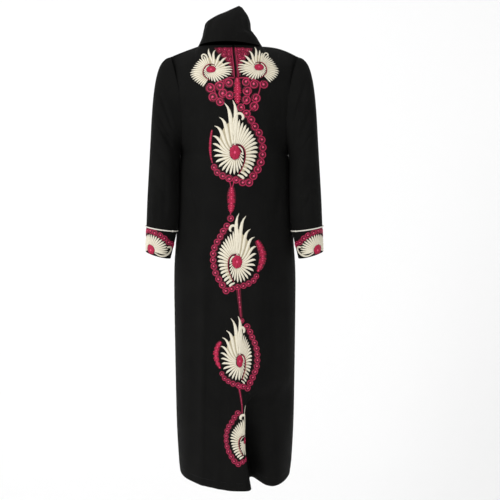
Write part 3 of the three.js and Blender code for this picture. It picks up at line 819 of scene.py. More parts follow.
piping_satin = satin_thread("cream_bias_satin", "#e6e4dc", "#b9b4a6", roughness=0.4)
for hand, side in HANDS:
    points, faces, flat = [], [], []
    for i in range(RING):
        centre, out = piping_line(side, 360 * i / RING)
        for k in range(PIPING_SIDES):
            turn = 2 * math.pi * k / PIPING_SIDES
            points.append(centre + out * PIPING_RADIUS * math.cos(turn)
                          + Vector((0, 0, PIPING_RADIUS * math.sin(turn))))
            flat.append((PIPING_LAY * i / RING, PIPING_RADIUS * turn))
            a, b = i * PIPING_SIDES + k, i * PIPING_SIDES + (k + 1) % PIPING_SIDES
            after = (i + 1) % RING
            c, d = after * PIPING_SIDES + (k + 1) % PIPING_SIDES, after * PIPING_SIDES + k
            faces.append((a, b, c, d) if side > 0 else (a, d, c, b))
    piping = mesh_piece(f"piping_{hand}_cord", points, faces, flat, [piping_satin])
    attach(piping, "root")
    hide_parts(f"piping_{hand}")
    centre, _ = piping_line(side, KNOT["angle"])
    bpy.ops.mesh.primitive_uv_sphere_add(segments=20, ring_count=12, radius=KNOT["radius"] * MM)
    knot = bpy.context.active_object
    knot.name = f"piping_{hand}_knot"
    for vertex in knot.data.vertices:
        twist = math.atan2(vertex.co.y, vertex.co.x) + vertex.co.z / MM * KNOT["twist"]
        vertex.co *= 1 + KNOT["relief"] * math.cos(KNOT["strands"] * twist)
        vertex.co.z *= KNOT["height"]
        vertex.co += centre * MM
    knot.data.uv_layers[0].name = "cloth"
    knot.data.materials.append(piping_satin)
    bpy.ops.object.shade_smooth()
    knot.select_set(False)
    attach(knot, "root")

# ---------------------------------------------------------------- embroidery stitches
# Satin stitch in rayon thread over a padded outline: cream for the feathers, and a darker
# cream for the fill that shows between them, which is painted shade in their grooves. Dark
# crimson for the ground, crimson and rose for the scrolls, and a pink knot at each scroll's
# heart; the pink dots along the leaves are painted highlights.
THREADS = {
    "cream": satin_thread("cream_satin_stitch", "#e6e1d1", "#b9b09a"),
    # The darker cream is painted shade: it fills the grooves between the feathers.
    "shade": satin_thread("cream_satin_stitch_painted_groove_shade", "#b5ab91", "#8b8168"),
    "ground": satin_thread("dark_crimson_satin_stitch", "#600521", "#380313"),
    "crimson": satin_thread("crimson_satin_stitch", "#b81744", "#780c2b"),
    "rose": satin_thread("rose_satin_stitch", "#c8285a", "#93183e"),
    "pink": satin_thread("pink_knots_and_painted_highlights", "#ea5a80", "#c23a60"),
}
CREAM_THREADS = 2
THREAD_NAMES = list(THREADS)
BAND_SECTION = ((-0.5, -0.3), (-0.32, 0.72), (0.0, 1.0), (0.32, 0.72), (0.5, -0.3))


def new_work():
    """An empty piece of needlework: its points, faces, thread lay, and thread of each face."""
    return {"points": [], "faces": [], "flat": [], "thread": []}


def add_stitches(work, thread, points, faces, flat):
    """Adds the points and faces of one patch of a named thread to a piece of needlework."""
    start = len(work["points"])
    work["points"] += points
    work["flat"] += flat
    work["faces"] += [tuple(start + i for i in face) for face in faces]
    work["thread"] += [THREAD_NAMES.index(thread)] * len(faces)


def band(work, thread, place, path, width, height, lift=0.0):
    """A domed band of satin stitch along a path drawn flat on the cloth."""
    spots = [place(u, v) for u, v in path]
    centres = np.array([spot[0] for spot in spots])
    normals = np.array([spot[1] for spot in spots])
    along = np.gradient(centres, axis=0)
    along /= np.maximum(np.linalg.norm(along, axis=1, keepdims=True), 1e-9)
    across = np.cross(normals, along)
    length = lengths_along(centres)
    points, faces, flat = [], [], []
    sides = len(BAND_SECTION)
    for i, centre in enumerate(centres):
        wide = width(i / (len(centres) - 1)) if callable(width) else width
        for share, rise in BAND_SECTION:
            up = rise * height + lift if rise > 0 else rise
            points.append(centre + across[i] * share * wide + normals[i] * up)
            flat.append((length[i], share * wide))
        if i:
            for k in range(sides):
                a, b = (i - 1) * sides + k, (i - 1) * sides + (k + 1) % sides
                faces.append((a, a + sides, b + sides, b))
    faces.append(tuple(range(sides)))
    faces.append(tuple(reversed(range(len(points) - sides, len(points)))))
    add_stitches(work, thread, points, faces, flat)


def dome(work, thread, place, centre, radii, height, lift=0.0, sides=20, lobes=0):
    """A padded round or oval patch, plain or with lobes like a small flower."""
    points, faces, flat = [], [], []
    levels = ((1.0, -0.3), (0.9, 0.55), (0.55, 0.9))
    for share, rise in levels:
        for k in range(sides):
            angle = 2 * math.pi * k / sides
            reach = share * (1 + (0.1 * math.cos(lobes * angle) if lobes else 0))
            at, normal = place(centre[0] + radii[0] * reach * math.cos(angle),
                               centre[1] + radii[1] * reach * math.sin(angle))
            points.append(at + normal * (rise * height + lift if rise > 0 else rise))
            flat.append((radii[0] * angle, share * radii[0]))
    at, normal = place(*centre)
    points += [at + normal * (height + lift), at - normal * 0.3]
    flat += [(0, 0), (0, 0)]
    for level in range(len(levels) - 1):
        for k in range(sides):
            after = (k + 1) % sides
            faces.append((level * sides + k, level * sides + after,
                          (level + 1) * sides + after, (level + 1) * sides + k))
    for k in range(sides):
        after = (k + 1) % sides
        faces.append((2 * sides + k, 2 * sides + after, 3 * sides))
        faces.append((after, k, 3 * sides + 1))
    add_stitches(work, thread, points, faces, flat)


def patch(work, thread, place, rows, height):
    """A flat patch of laid thread, from rows of places that run across it."""
    points, flat = [], []
    for row in rows:
        for u, v in row:
            at, normal = place(u, v)
            points.append(at + normal * height)
            flat.append((u, v))
    count = len(rows[0])
    faces = [(r * count + k, r * count + k + 1, (r + 1) * count + k + 1, (r + 1) * count + k)
             for r in range(len(rows) - 1) for k in range(count - 1)]
    a, b, c, _ = (points[i] for i in faces[0])
    if np.dot(np.cross(b - a, c - a), place(*rows[0][0])[1]) < 0:
        faces = [tuple(reversed(face)) for face in faces]
    add_stitches(work, thread, points, faces, flat)


# A curled tendril, in shares of its radius: how far in it turns, its width from the rim to
# its end, the ground round it and the knot at its heart.
COIL = {"turns": 1.22, "steps": 28, "rim": 1.0, "heart": 0.3, "width": 0.24, "end_width": 0.19,
        "ground": 1.3, "knot": 0.3}


def coil(work, place, centre, radius, start, hand):
    """One curled tendril: a rose rim that turns in to a pink knot, on a dark ground."""
    path = []
    for i in range(COIL["steps"] + 1):
        t = i / COIL["steps"]
        angle = start + hand * COIL["turns"] * 2 * math.pi * t
        reach = radius * mix(COIL["rim"], COIL["heart"], t ** 3)
        path.append((centre[0] + reach * math.cos(angle), centre[1] + reach * math.sin(angle)))
    dome(work, "ground", place, centre, (radius * COIL["ground"],) * 2, 0.3)
    band(work, "rose", place, path, lambda t: mix(COIL["width"], COIL["end_width"], t) * radius,
         1.1, lift=0.2)
    heart = tuple(mix(a, b, 0.5) for a, b in zip(centre, path[-1]))
    dome(work, "pink", place, heart, (radius * COIL["knot"],) * 2, 1.1, lift=0.5, sides=10)


BOW_STEPS = 4


def bowed_path(base, tip, curl):
    """A path from base to tip that bows to its left by curl times its length."""
    across = (tip[0] - base[0], tip[1] - base[1])
    knee = ((base[0] + tip[0]) / 2 - across[1] * curl * 2,
            (base[1] + tip[1]) / 2 + across[0] * curl * 2)
    path = []
    for i in range(BOW_STEPS + 1):
        t = i / BOW_STEPS
        path.append(tuple((1 - t) ** 2 * a + 2 * t * (1 - t) * k + t * t * b
                          for a, k, b in zip(base, knee, tip)))
    return path


def petal_width(width, point=0.0):
    """Narrow where it starts, fullest further on, with a rounded (0) or a pointed (1) tip."""
    full = mix(0.84, 0.66, point)

    def wide(t):
        left = 1 - max(0.0, (t - full) / (1 - full)) ** mix(2.0, 1.5, point)
        end = left ** mix(0.5, 0.85, point) if left > 0 else 0
        return width * mix(0.55, 1, smooth(t, 0, 0.5)) * max(0.1, end)

    return wide


# A leaf: how far apart its scales are and how wide, and in shares of its width the middle
# band and how far a scale reaches out.
LEAF = {"scale_step": 8.5, "scale_width": 0.74, "ground": 3, "middle": 0.66, "reach": 0.48}


def leaf(work, place, path, width):
    """A leaf or a stem: slanting crimson scales on a dark ground, tapered at both ends, with pink
    dots as painted highlights.
    """
    def spread(t):
        return max(0.12, math.sin(math.pi * min(1, 0.1 + 0.9 * t)) ** 0.6) * width

    band(work, "ground", place, path, lambda t: spread(t) + LEAF["ground"], 0.4)
    band(work, "crimson", place, path, lambda t: spread(t) * LEAF["middle"], 0.7, lift=0.2)
    lengths = [0.0]
    for a, b in zip(path, path[1:]):
        lengths.append(lengths[-1] + math.dist(a, b))
    count = max(3, int(lengths[-1] / LEAF["scale_step"]))
    scale_width = max(2.0, LEAF["scale_step"] * LEAF["scale_width"])
    for i in range(count):
        t = (i + 0.35) / count
        k = min(range(len(lengths)), key=lambda n: abs(lengths[n] - t * lengths[-1]))
        a, b = path[max(k - 1, 0)], path[min(k + 1, len(path) - 1)]
        step = math.dist(a, b) or 1
        ahead = ((b[0] - a[0]) / step, (b[1] - a[1]) / step)
        at = tuple(mix(p, q, 0.5) for p, q in zip(a, b))
        for hand in (-1, 1):
            reach = spread(t) * LEAF["reach"]
            tip = (at[0] + ahead[0] * reach * 0.9 + hand * ahead[1] * reach,
                   at[1] + ahead[1] * reach * 0.9 - hand * ahead[0] * reach)
            scale = bowed_path(at, tip, 0.12 * hand)
            band(work, "crimson", place, scale, petal_width(scale_width), 0.9, lift=0.5)
        # A pink dot at each row of scales: a painted highlight.
        dome(work, "pink", place, at, (width * 0.06 + 0.6,) * 2, 1.2, lift=0.5, sides=8)

# ---------------------------------------------------------------- paisley fans
# A feathered paisley: cream feathers wind once round a crimson rosette and spread outside
# it, and a chain of coils follows the outer edge of the tall ones.
WING_START = -270             # angle where the feathers leave the rosette for the outer side
# Two charts of feathers, by angle round the rosette from its inner side. Reach is to the tips,
# gap the spacing of the tips, and fill the share of the reach that is solid. Sweep is how
# far back a feather's foot lies, hook how far its tip turns back, and point how sharp it is.
TALL_FAN = table(
    "angle reach gap width sweep hook point fill",
    (-12, 27, 9, 5, 8, 0, 0.6, 0.5),
    (-37, 33, 9, 5.5, 8, 0, 0.6, 0.5),
    (-66, 50, 9, 6, 5, 0, 0.5, 0.55),
    (-90, 66, 12, 7, 1, 0, 0.4, 0.56),
    (-118, 67, 14, 7.5, 7, 1, 0.35, 0.56),
    (-146, 65, 18, 8, 13, 2, 0.35, 0.58),
    (-180, 65, 18, 8, 25, 3, 0.35, 0.6),
    (-205, 74, 20, 8.5, 34, 4, 0.5, 0.66),
    (-222, 88, 24, 10, 36, 6, 0.8, 0.7),
    (-234, 102, 24, 11, 30, 7, 1.0, 0.69),
    (-247, 116, 24, 12.5, 18, 7, 1.0, 0.7),
    (-257, 148, 25, 13, 8, 6, 1.0, 0.6),
    (-270, 150, 28, 14, 2, 4, 1.0, 0.7),
    (-276, 104, 13, 8.5, -2, 0, 0.5, 0.78),
    (-290, 90, 11.5, 8.5, -2, 0, 0.4, 0.78),
    (-305, 81, 12, 8.5, -3, 0, 0.3, 0.74),
    (-324, 75, 14, 9, -4, -1, 0.2, 0.7),
    (-349, 70.5, 15, 9, -7, -3, 0.2, 0.68),
    (-375, 66, 13, 9, -7, -2, 0.2, 0.7),
    (-396, 69, 12.5, 9, -8, -2, 0.2, 0.74),
    (-432, 84, 11, 9, -11, 0, 0.3, 0.8),
)
WIDE_FAN = table(
    "angle reach gap width sweep hook point fill",
    (0, 22, 6, 4, 8, 0, 0.6, 0.6),
    (-50, 28, 6, 4.5, 6, 0, 0.6, 0.66),
    (-86, 33, 8, 5, 2, 0, 0.5, 0.66),
    (-118, 43, 9, 5.5, 4, 0, 0.4, 0.66),
    (-147, 49, 9, 5.5, 5, 1, 0.4, 0.68),
    (-163, 61, 8.5, 5.5, 6, 1, 0.4, 0.7),
    (-180, 64, 8.5, 5.5, 8, 2, 0.4, 0.7),
    (-194, 61, 20, 6.5, 10, 4, 0.6, 0.7),
    (-219, 58, 20, 7.5, 20, 3, 0.9, 0.64),
    (-241, 56, 20, 8, 24, 5, 1.0, 0.58),
    (-259, 62, 20, 8, 27, 7, 1.0, 0.58),
    (-277, 66, 14, 8, 24, 4, 1.0, 0.58),
    (-290, 50, 9, 5.8, -3, 0, 0.4, 0.74),
    (-326, 51, 7.6, 5.7, -4, -1, 0.4, 0.8),
    (-351, 56, 7.6, 5.7, -5, -2, 0.4, 0.82),
    (-368, 65, 7.6, 5.8, -5, -2, 0.4, 0.82),
    (-384, 64, 7.6, 5.8, -6, -2, 0.4, 0.82),
    (-400, 59, 7.4, 5.7, -6, -1, 0.4, 0.82),
    (-414, 57, 7.4, 5.7, -7, 0, 0.4, 0.82),
    (-428, 57, 7.4, 5.7, -8, 0, 0.4, 0.82),
)
# The crimson line that parts the feathers of the wing from the rosette, like a comma.
TALL_COMMA = table("angle radius", (108, 25), (76, 25), (45, 28), (15, 30),
                   (-11, 32), (-38, 38), (-65, 51), (-80, 66))
WIDE_COMMA = table("angle radius", (150, 15), (120, 16), (76, 16.5), (28, 20),
                   (-4, 24), (-34, 28), (-60, 29), (-84, 33))
# The one curled feather between the plumes and the wing, by turn from its top and share of
# its height.
HOOK = table("turn share", (8, 0.42), (9, 0.62), (7, 0.8), (4, 0.94),
             (0, 1.0), (-5, 1.0), (-8.5, 0.93), (-7, 0.85))
# A cream crescent inside the comma: its angles, its share of the comma's radius, and its
# width by the rosette's.
CRESCENT = {"low": -18, "high": 64, "share": 0.76, "width": 0.3}
# The rosette, in shares of its size: the ground round it, its petals and its knot.
ROSETTE = {"ground": 1.12, "petals": 7, "petal_reach": 0.82, "petal_width": 0.42, "knot": 0.2}
SOLID_SHARES = (0, 0.34, 0.67, 1)
FAN_STEPS = 72
FEATHER_STEPS = 10
COMMA_STEPS = 24
COMMA_CORD_START = 8            # steps down the comma line before its crimson cord starts
# Widths of the comma line from its start to its end.
COMMA_GROUND = (4.6, 3.0)
COMMA_CORD = (2.6, 1.4)


def rounded(corners, steps=4):
    """A smooth path through a few places."""
    path = []
    for i in range(len(corners) - 1):
        p0, p1 = corners[max(i - 1, 0)], corners[i]
        p2, p3 = corners[i + 1], corners[min(i + 2, len(corners) - 1)]
        for k in range(steps):
            t = k / steps
            path.append(tuple(0.5 * (2 * b + (c - a) * t + (2 * a - 5 * b + 4 * c - d) * t * t
                                     + (3 * b - a - 3 * c + d) * t ** 3)
                              for a, b, c, d in zip(p0, p1, p2, p3)))
    return path + [tuple(corners[-1])]


def fan_spot(centre, angle, radius, mirror, wing, breast, tall):
    """A place in a fan by angle and radius; wing, breast and tall resize its three ways."""
    a, b = radius * math.cos(math.radians(angle)), radius * math.sin(math.radians(angle))
    return centre[0] + mirror * a * (wing if a > 0 else breast), centre[1] + b * tall


def feather_fan(work, place, centre, fan, comma, rosette, hook,
                mirror=1, wing=1.0, breast=1.0, tall=1.0):
    """One paisley, worked from a chart of feathers, a comma line, a rosette and a hook."""
    def spot(angle, radius):
        return fan_spot(centre, angle, radius, mirror, wing, breast, tall)

    def foot(angle):
        if angle > WING_START:
            return 0.92 * math.hypot(rosette[0] * math.cos(math.radians(angle)),
                                     rosette[1] * math.sin(math.radians(angle)))
        return read(comma, "angle", angle + 360, "radius") + 1.5

    fan_end = fan[-1]["angle"]
    turns = [fan_end + 360 * (1 - k / FAN_STEPS) for k in range(FAN_STEPS + 1)]
    solid = [read(fan, "angle", angle, "fill") * read(fan, "angle", angle, "reach")
             for angle in turns]
    # The solid fill is laid in the darker cream, as painted shade in the grooves between the
    # feathers.
    patch(work, "shade", place,
          [[spot(angle, mix(foot(angle), edge, share)) for angle, edge in zip(turns, solid)]
           for share in SOLID_SHARES], height=0.7)
    angle, count = fan[0]["angle"], 0
    while angle > fan_end:
        row = {column: read(fan, "angle", angle, column) for column in fan[0]}
        start = angle + row["sweep"] - row["hook"]
        if angle > WING_START:
            start = max(start, WING_START + 1)
        base = foot(start if (angle > WING_START) == (start > WING_START) else angle)
        path = []
        for i in range(FEATHER_STEPS + 1):
            t = i / FEATHER_STEPS
            turn = angle - row["hook"] * (1 - t ** 6) + row["sweep"] * (1 - t) ** 2.2
            path.append(spot(turn, mix(base, row["reach"], t)))
        outward = math.cos(math.radians(angle))
        squeeze = mix(wing if outward > 0 else breast, tall, outward ** 2)
        band(work, "cream", place, path, petal_width(row["width"] * squeeze, row["point"]), 1.0,
             lift=0.5 + 0.3 * (count % 2))
        angle -= math.degrees(row["gap"] / row["reach"])
        count += 1
    curl = [spot(hook[0] + step["turn"], hook[1] * step["share"]) for step in HOOK]
    band(work, "cream", place, rounded(curl), petal_width(hook[2]), 1.3, lift=1.1)

    crescent = []
    for i in range(FEATHER_STEPS + 1):
        turn = mix(CRESCENT["low"], CRESCENT["high"], i / FEATHER_STEPS)
        crescent.append(spot(turn, CRESCENT["share"] * read(comma, "angle", turn, "radius")))
    band(work, "cream", place, crescent, petal_width(CRESCENT["width"] * rosette[0], 0.4), 1.0,
         lift=0.9)
    line = []
    for i in range(COMMA_STEPS + 1):
        turn = mix(comma[0]["angle"], comma[-1]["angle"], i / COMMA_STEPS)
        line.append(spot(turn, read(comma, "angle", turn, "radius")))
    band(work, "ground", place, line, lambda t: mix(*COMMA_GROUND, t), 0.9, lift=0.8)
    band(work, "crimson", place, line[COMMA_CORD_START:], lambda t: mix(*COMMA_CORD, t), 0.9,
         lift=1.2)
    oval = (rosette[0] * (wing + breast) / 2, rosette[1] * tall)
    dome(work, "ground", place, centre, tuple(r * ROSETTE["ground"] for r in oval), 0.9,
         lift=0.8, sides=28)
    dome(work, "crimson", place, centre, oval, 1.5, lift=0.9, sides=28, lobes=ROSETTE["petals"])
    for k in range(ROSETTE["petals"]):
        turn = 2 * math.pi * k / ROSETTE["petals"]
        tip = (centre[0] + oval[0] * ROSETTE["petal_reach"] * math.cos(turn),
               centre[1] + oval[1] * ROSETTE["petal_reach"] * math.sin(turn))
        band(work, "crimson", place, bowed_path(centre, tip, 0.1),
             petal_width(oval[0] * ROSETTE["petal_width"]), 1.0, lift=1.9)
    dome(work, "pink", place, centre, tuple(r * ROSETTE["knot"] for r in oval), 1.2,
         lift=2.4, sides=10)


# The scrolls that edge a tall fan, from beside its plumes round the outer side to below.
SCROLL_EDGE = table(
    "angle radius size",
    (73, 119, 11),
    (54, 98, 10.5),
    (39, 92, 10.5),
    (5, 83.5, 10.5),
    (-12, 82, 10.5),
    (-44, 86, 11),
    (-59, 93, 11),
    (-69, 101, 11),
    (-81, 85, 10),
    (-100, 80, 10),
    (-120, 79, 9.5),
    (-133, 80, 9),
    (-150, 75, 8.5),
)
# The chain: its coils' spacing by their radius, how wide its ground is, and how far round
# each coil starts, in half turns.
CHAIN = {"spacing": 2.05, "ground": 19, "start": 0.6}


def scroll_edge(work, place, centre, mirror, wing, breast, tall, size, until):
    """A chain of coils along the edge of a fan, on a dark winding ground."""
    track, angle, last, walked = [], SCROLL_EDGE[0]["angle"], None, 0.0
    while angle > until:
        here = fan_spot(centre, angle, read(SCROLL_EDGE, "angle", angle, "radius"),
                        mirror, wing, breast, tall)
        if last:
            walked += math.dist(last, here)
        radius = read(SCROLL_EDGE, "angle", angle, "size") * size
        if last is None or walked > radius * CHAIN["spacing"]:
            track.append((here, radius, angle))
            walked = 0.0
        last = here
        angle -= 1
    stem = rounded([spot for spot, _, _ in track], 5)
    band(work, "ground", place, stem, CHAIN["ground"] * size, 0.3)
    for at, radius, angle in track:
        turn = math.radians(angle if mirror > 0 else 180 - angle)
        coil(work, place, at, radius, start=turn + math.pi * CHAIN["start"] * mirror, hand=-mirror)

# ---------------------------------------------------------------- front embroidery
# Worked on the front before it was sewn up: two wide fans either side of the slit, a yoke
# of curled tendrils, and four tall fans below one another, each the mirror of the last.
STRAIGHT_TO_Z = -1000           # above this the work is placed as seen from the front
BESIDE_SLIT = (0, 1.5, -1.5, 3, -3, 6, -6)      # where to look for cloth beside an open place
front_tree = BVHTree.FromPolygons([v.co for v in front.data.vertices],
                                  [p.vertices for p in front.data.polygons])
fold_rows = []
for grid in front_grids:
    fold_rows.append((grid, grid_normals(grid), lengths_along(grid, axis=1)))


def on_front(u, v):
    """A place on the front cloth and its outward normal. Below the hips u runs along the cloth."""
    if v > STRAIGHT_TO_Z:
        for beside in BESIDE_SLIT:
            before = Vector(((u + beside) * MM, -1, v * MM))
            at, normal, _, _ = front_tree.ray_cast(before, Vector((0, 1, 0)))
            if at is not None:
                normal = normal if normal.y < 0 else -normal
                return np.array(at) / MM, np.array(normal)
        v = STRAIGHT_TO_Z
    v = max(v, -LENGTH + 1)
    row = ARM_ROWS + (UNDERARM_Z - v) / (LENGTH + UNDERARM_Z) * SKIRT_ROWS
    i, part = int(row), row - int(row)
    from_centre = u - read(CENTRE_FRONT, "z", v, "x")
    grid, normals, across = fold_rows[1 if from_centre > 0 else 0]
    lengths = mix(across[i], across[i + 1], part)
    column = float(np.interp(abs(from_centre), lengths, np.arange(len(lengths))))
    k, share = min(int(column), grid.shape[1] - 2), column - int(column)
    line = mix(grid[i], grid[i + 1], part)
    normal = mix(normals[i, k], normals[i, k + 1], share)
    at = mix(line[k], line[k + 1], share)
    outward = np.cross(line[k + 1] - line[k], (0, 0, 1.0)) * (1 if from_centre > 0 else -1)
    return at, normal if np.dot(normal, outward) > 0 else -normal


def sewn_stem(work, points, ground, cord, height=0.25):
    """A stem on the front: a rose cord on a wider dark ground. Gives back its path."""
    path = rounded(points)
    band(work, "ground", on_front, path, ground, height)
    band(work, "rose", on_front, path, cord, 0.9, lift=0.1)
    return path


# The bound slit: a dark crimson strip along each edge, with a rose cord on its outer side.
# It shows from below the hood's edge.
SLIT_BINDING = 4.2
SLIT_CORD = 1.9
BINDING_TOP_Z = NECK_FRONT_Z - 9
chest = new_work()
slit_rows = range(BINDING_TOP_Z, NECK_FRONT_Z - SLIT_LENGTH, -4)
for side in (-1, 1):
    edge = [(read(CENTRE_FRONT, "z", z, "x") + side * (SLIT_WIDTH / 2 + SLIT_BINDING / 2), z)
            for z in slit_rows]
    band(chest, "ground", on_front, edge, SLIT_BINDING, 0.7)
    outer = [(u + side * (SLIT_BINDING / 2 + 0.4), v) for u, v in edge]
    band(chest, "rose", on_front, outer, SLIT_CORD, 1.5, lift=0.2)

# The yoke between the fans, either side of the slit: a dark ground filled with small scrolls.
YOKE_EDGE = table("z out", (-19, 58), (-32, 52), (-46, 40), (-60, 28), (-76, 19),
                  (-92, 15), (-106, 13))
YOKE_SCROLLS = table(
    "out z size",
    (14, -27, 6.5),
    (28, -26, 6.5),
    (42, -26, 6),
    (15, -41, 6.5),
    (30, -40, 6.5),
    (16, -55, 6.5),
    (28, -52, 5),
    (14, -68, 5),
    (12, -80, 3.5),
)
for side in (-1, 1):
    rows = []
    for i in range(16):
        z = mix(YOKE_EDGE[0]["z"], YOKE_EDGE[-1]["z"], i / 15)
        middle, out = read(CENTRE_FRONT, "z", z, "x"), read(YOKE_EDGE, "z", z, "out")
        rows.append([(middle + side * mix(SLIT_WIDTH / 2 + SLIT_BINDING, out, k / 8), z)
                     for k in range(9)])
    patch(chest, "ground", on_front, rows, height=0.3)
    for i, scroll in enumerate(YOKE_SCROLLS):
        middle = read(CENTRE_FRONT, "z", scroll["z"], "x")
        place = (middle + side * scroll["out"], scroll["z"])
        coil(chest, on_front, place, scroll["size"], start=1.3 * i, hand=side)

# The two chest fans. The one at the wearer's left leans its tall feathers, those near the
# plume, inwards, and its wing is shorter.
WIDE_HOOK = (-297, 54, 5.5)     # angle, height and width of the curled feather
WIDE_ROSETTE = (15.5, 10.5)
LEAN = dict(plume=-255, by=13, full=30, none=60)
feather_fan(chest, on_front, (-67, -87), WIDE_FAN, WIDE_COMMA, WIDE_ROSETTE, WIDE_HOOK, mirror=-1)
leaning_fan = []
for row in WIDE_FAN[:-1]:
    near = 1 - smooth(abs(row["angle"] - LEAN["plume"]), LEAN["full"], LEAN["none"])
    leaning_fan.append(dict(row, angle=row["angle"] + LEAN["by"] * near))
feather_fan(chest, on_front, (76, -80), leaning_fan, WIDE_COMMA, WIDE_ROSETTE, WIDE_HOOK, wing=0.94)

# Curled tendrils under the yoke: where each one's middle is, and its size.
TENDRIL_SCALE = 1.06
TENDRILS = table(
    "x z size",
    (-70, -142, 11.5),
    (-41, -137, 11.5),
    (-14, -128, 11),
    (-61, -169, 11.5),
    (-31, -158, 11.5),
    (-11, -164, 10.5),
    (-40, -183, 10.5),
    (38, -125, 10.5),
    (62, -131, 11),
    (91, -131, 10.5),
    (41, -151, 11.5),
    (67, -172, 11.5),
    (38, -178, 11),
    (61, -197, 11.5),
    (22, -201, 10),
)
for i, tendril in enumerate(TENDRILS):
    hand = -1 if tendril["x"] < 10 else 1
    coil(chest, on_front, (tendril["x"], tendril["z"]), TENDRIL_SCALE * tendril["size"],
         start=2.1 + 0.7 * i, hand=hand)
# The stems that the tendrils grow from.
for stem in ([(3, -113), (-12, -112), (-28, -119), (-50, -127),
              (-56, -142), (-54, -160), (-46, -174), (-40, -183)],
             [(-28, -119), (-32, -138), (-30, -156), (-20, -166), (-11, -164)],
             [(15, -113), (40, -112), (60, -117), (77, -126), (79, -142), (74, -160), (67, -172)],
             [(40, -112), (50, -130), (48, -150), (46, -166), (38, -178), (28, -192), (22, -201)],
             [(67, -172), (69, -186), (61, -197), (50, -208), (41, -216)]):
    sewn_stem(chest, stem, 7.0, 1.9)

# The four fans of the column, from the top down: where each one's rosette is and its size,
# and how the feathers and their edge of scrolls are resized.
TALL_HOOK = (-275, 115, 8.5)
COLUMN_FANS = table(
    "x z rosette_x rosette_z mirror wing breast tall edge_wing edge_breast edge_tall size until",
    (4, -333, 17, 23.5, 1, 1.0, 1.0, 1.0, 1.0, 1.0, 1.0, 1.0, -150),
    (10, -662, 19, 22.5, -1, 0.87, 0.87, 0.95, 0.88, 0.94, 0.94, 0.86, -150),
    (18, -966, 14, 23, 1, 0.54, 0.88, 0.9, 0.64, 0.9, 0.92, 0.8, -150),
    (35, -1214, 9, 16.5, -1, 0.7, 0.35, 0.7, 0.74, 0.5, 0.76, 0.72, -110),
)
column = new_work()
for fan in COLUMN_FANS:
    centre, rosette = (fan["x"], fan["z"]), (fan["rosette_x"], fan["rosette_z"])
    feather_fan(column, on_front, centre, TALL_FAN, TALL_COMMA, rosette, TALL_HOOK,
                fan["mirror"], fan["wing"], fan["breast"], fan["tall"])
    scroll_edge(column, on_front, centre, fan["mirror"], fan["edge_wing"], fan["edge_breast"],
                fan["edge_tall"], fan["size"], fan["until"])

# The leaves and stems between the fans, and the leaf at the open side of three of them.
STEM_TAPER = 0.62
for points in ([(11, -112), (11.5, -135), (12, -160), (12, -190)],
               [(-6, -436), (-7, -460), (-7, -485), (-9, -514)]):
    leaf(column, on_front, rounded(points), 25)
for place, size in (((-10, -531), 9), ((23, -842), 7.5), ((17, -1046), 7)):
    coil(column, on_front, place, size, start=1.2, hand=-1)
for stem in ([(4, -408), (1, -420), (-4, -438)],
             [(-20, -412), (-11, -424), (-8, -440)],
             [(-9, -508), (-10, -520)]):
    sewn_stem(column, stem, 6.5, 2.2)
for wide, points in ((17, [(14, -742), (16, -770), (19, -800), (22, -832)]),
                     (9, [(16, -1052), (19, -1075), (22, -1100), (23, -1130)])):
    path = sewn_stem(column, points, lambda t: mix(1, STEM_TAPER, t) * wide,
                     lambda t: mix(2.6, 1.6, t), height=0.3)
    for k in (0.3, 0.5, 0.7):
        at = path[round(k * (len(path) - 1))]
        dome(column, "pink", on_front, at, (wide * 0.12,) * 2, 1.1, lift=0.4, sides=8)
for width, points in ((8, [(-65, -266), (-69, -290), (-71, -318), (-69, -346), (-64, -366)]),
                      (24, [(70, -598), (82, -622), (88, -646), (83, -672), (72, -692)]),
                      (19, [(-40, -908), (-51, -926), (-56, -948), (-52, -972), (-42, -992)])):
    leaf(column, on_front, rounded(points), width)


def sewn_pieces(name, work):
    """Makes the cream feathers and the crimson scrolls of one piece of needlework."""
    for part, slot, threads in (("feathers", "cream_embroidery", THREAD_NAMES[:CREAM_THREADS]),
                                ("scrolls", "crimson_embroidery", THREAD_NAMES[CREAM_THREADS:])):
        kept = [i for i, thread in enumerate(work["thread"]) if THREAD_NAMES[thread] in threads]
        used = sorted({v for i in kept for v in work["faces"][i]})
        index = {v: k for k, v in enumerate(used)}
        piece = mesh_piece(f"{name}_{part}", [work["points"][v] for v in used],
                           [tuple(index[v] for v in work["faces"][i]) for i in kept],
                           [work["flat"][v] for v in used], [THREADS[thread] for thread in threads],
                           [work["thread"][i] - THREAD_NAMES.index(threads[0]) for i in kept])
        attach(piece, "root")


sewn_pieces("chest", chest)
sewn_pieces("column", column)

# ---------------------------------------------------------------- cuff embroidery
# One feathered fan on the outer front of each cuff, low on the band, under a chain of
# scrolls. It wraps a little way round the outer edge.
CUFF_FAN = table(
    "angle reach gap width sweep fill",
    (200, 48, 9, 6.4, 5, 0.62),
    (160, 46, 8.5, 6, 4, 0.62),
    (120, 49, 8.5, 6, 2, 0.62),
    (90, 51, 8.5, 6, 0, 0.62),
    (60, 54, 9, 6.4, -3, 0.62),
    (40, 57, 9, 6.4, -5, 0.64),
    (20, 60, 9, 6.4, -8, 0.66),
    (3, 61, 8.5, 6, -8, 0.7),
    (-9, 58, 8.5, 6, -6, 0.7),
)
CUFF_ROSETTE = (15.5, 17)
CUFF_CENTRE = (48, 18)        # from the outer line towards the front, and up from the edge
# The curled feather and the chain of scrolls, from the rosette's middle.
CUFF_HOOK = [(15, -7), (29, -12.5), (45, -11.5), (62, -3), (74, 9), (74, 18), (64, 20), (55, 17)]
CUFF_CHAIN = [(-62, 22), (-54, 40), (-38, 54), (-20, 60), (-3, 61), (14, 60), (31, 54),
              (46, 46), (59, 36), (75, 30), (91, 25)]
CUFF_COIL_RADIUS = 8.6


def cuff_normals(side):
    """The normals of a cuff's cloth, turned outwards."""
    normals = grid_normals(cuff_grids[side], closed=True)
    outward = np.array([wrist_out(side, 360 * i / RING) for i in range(RING)])
    return normals * np.sign(np.sum(normals * outward[None], axis=2, keepdims=True))


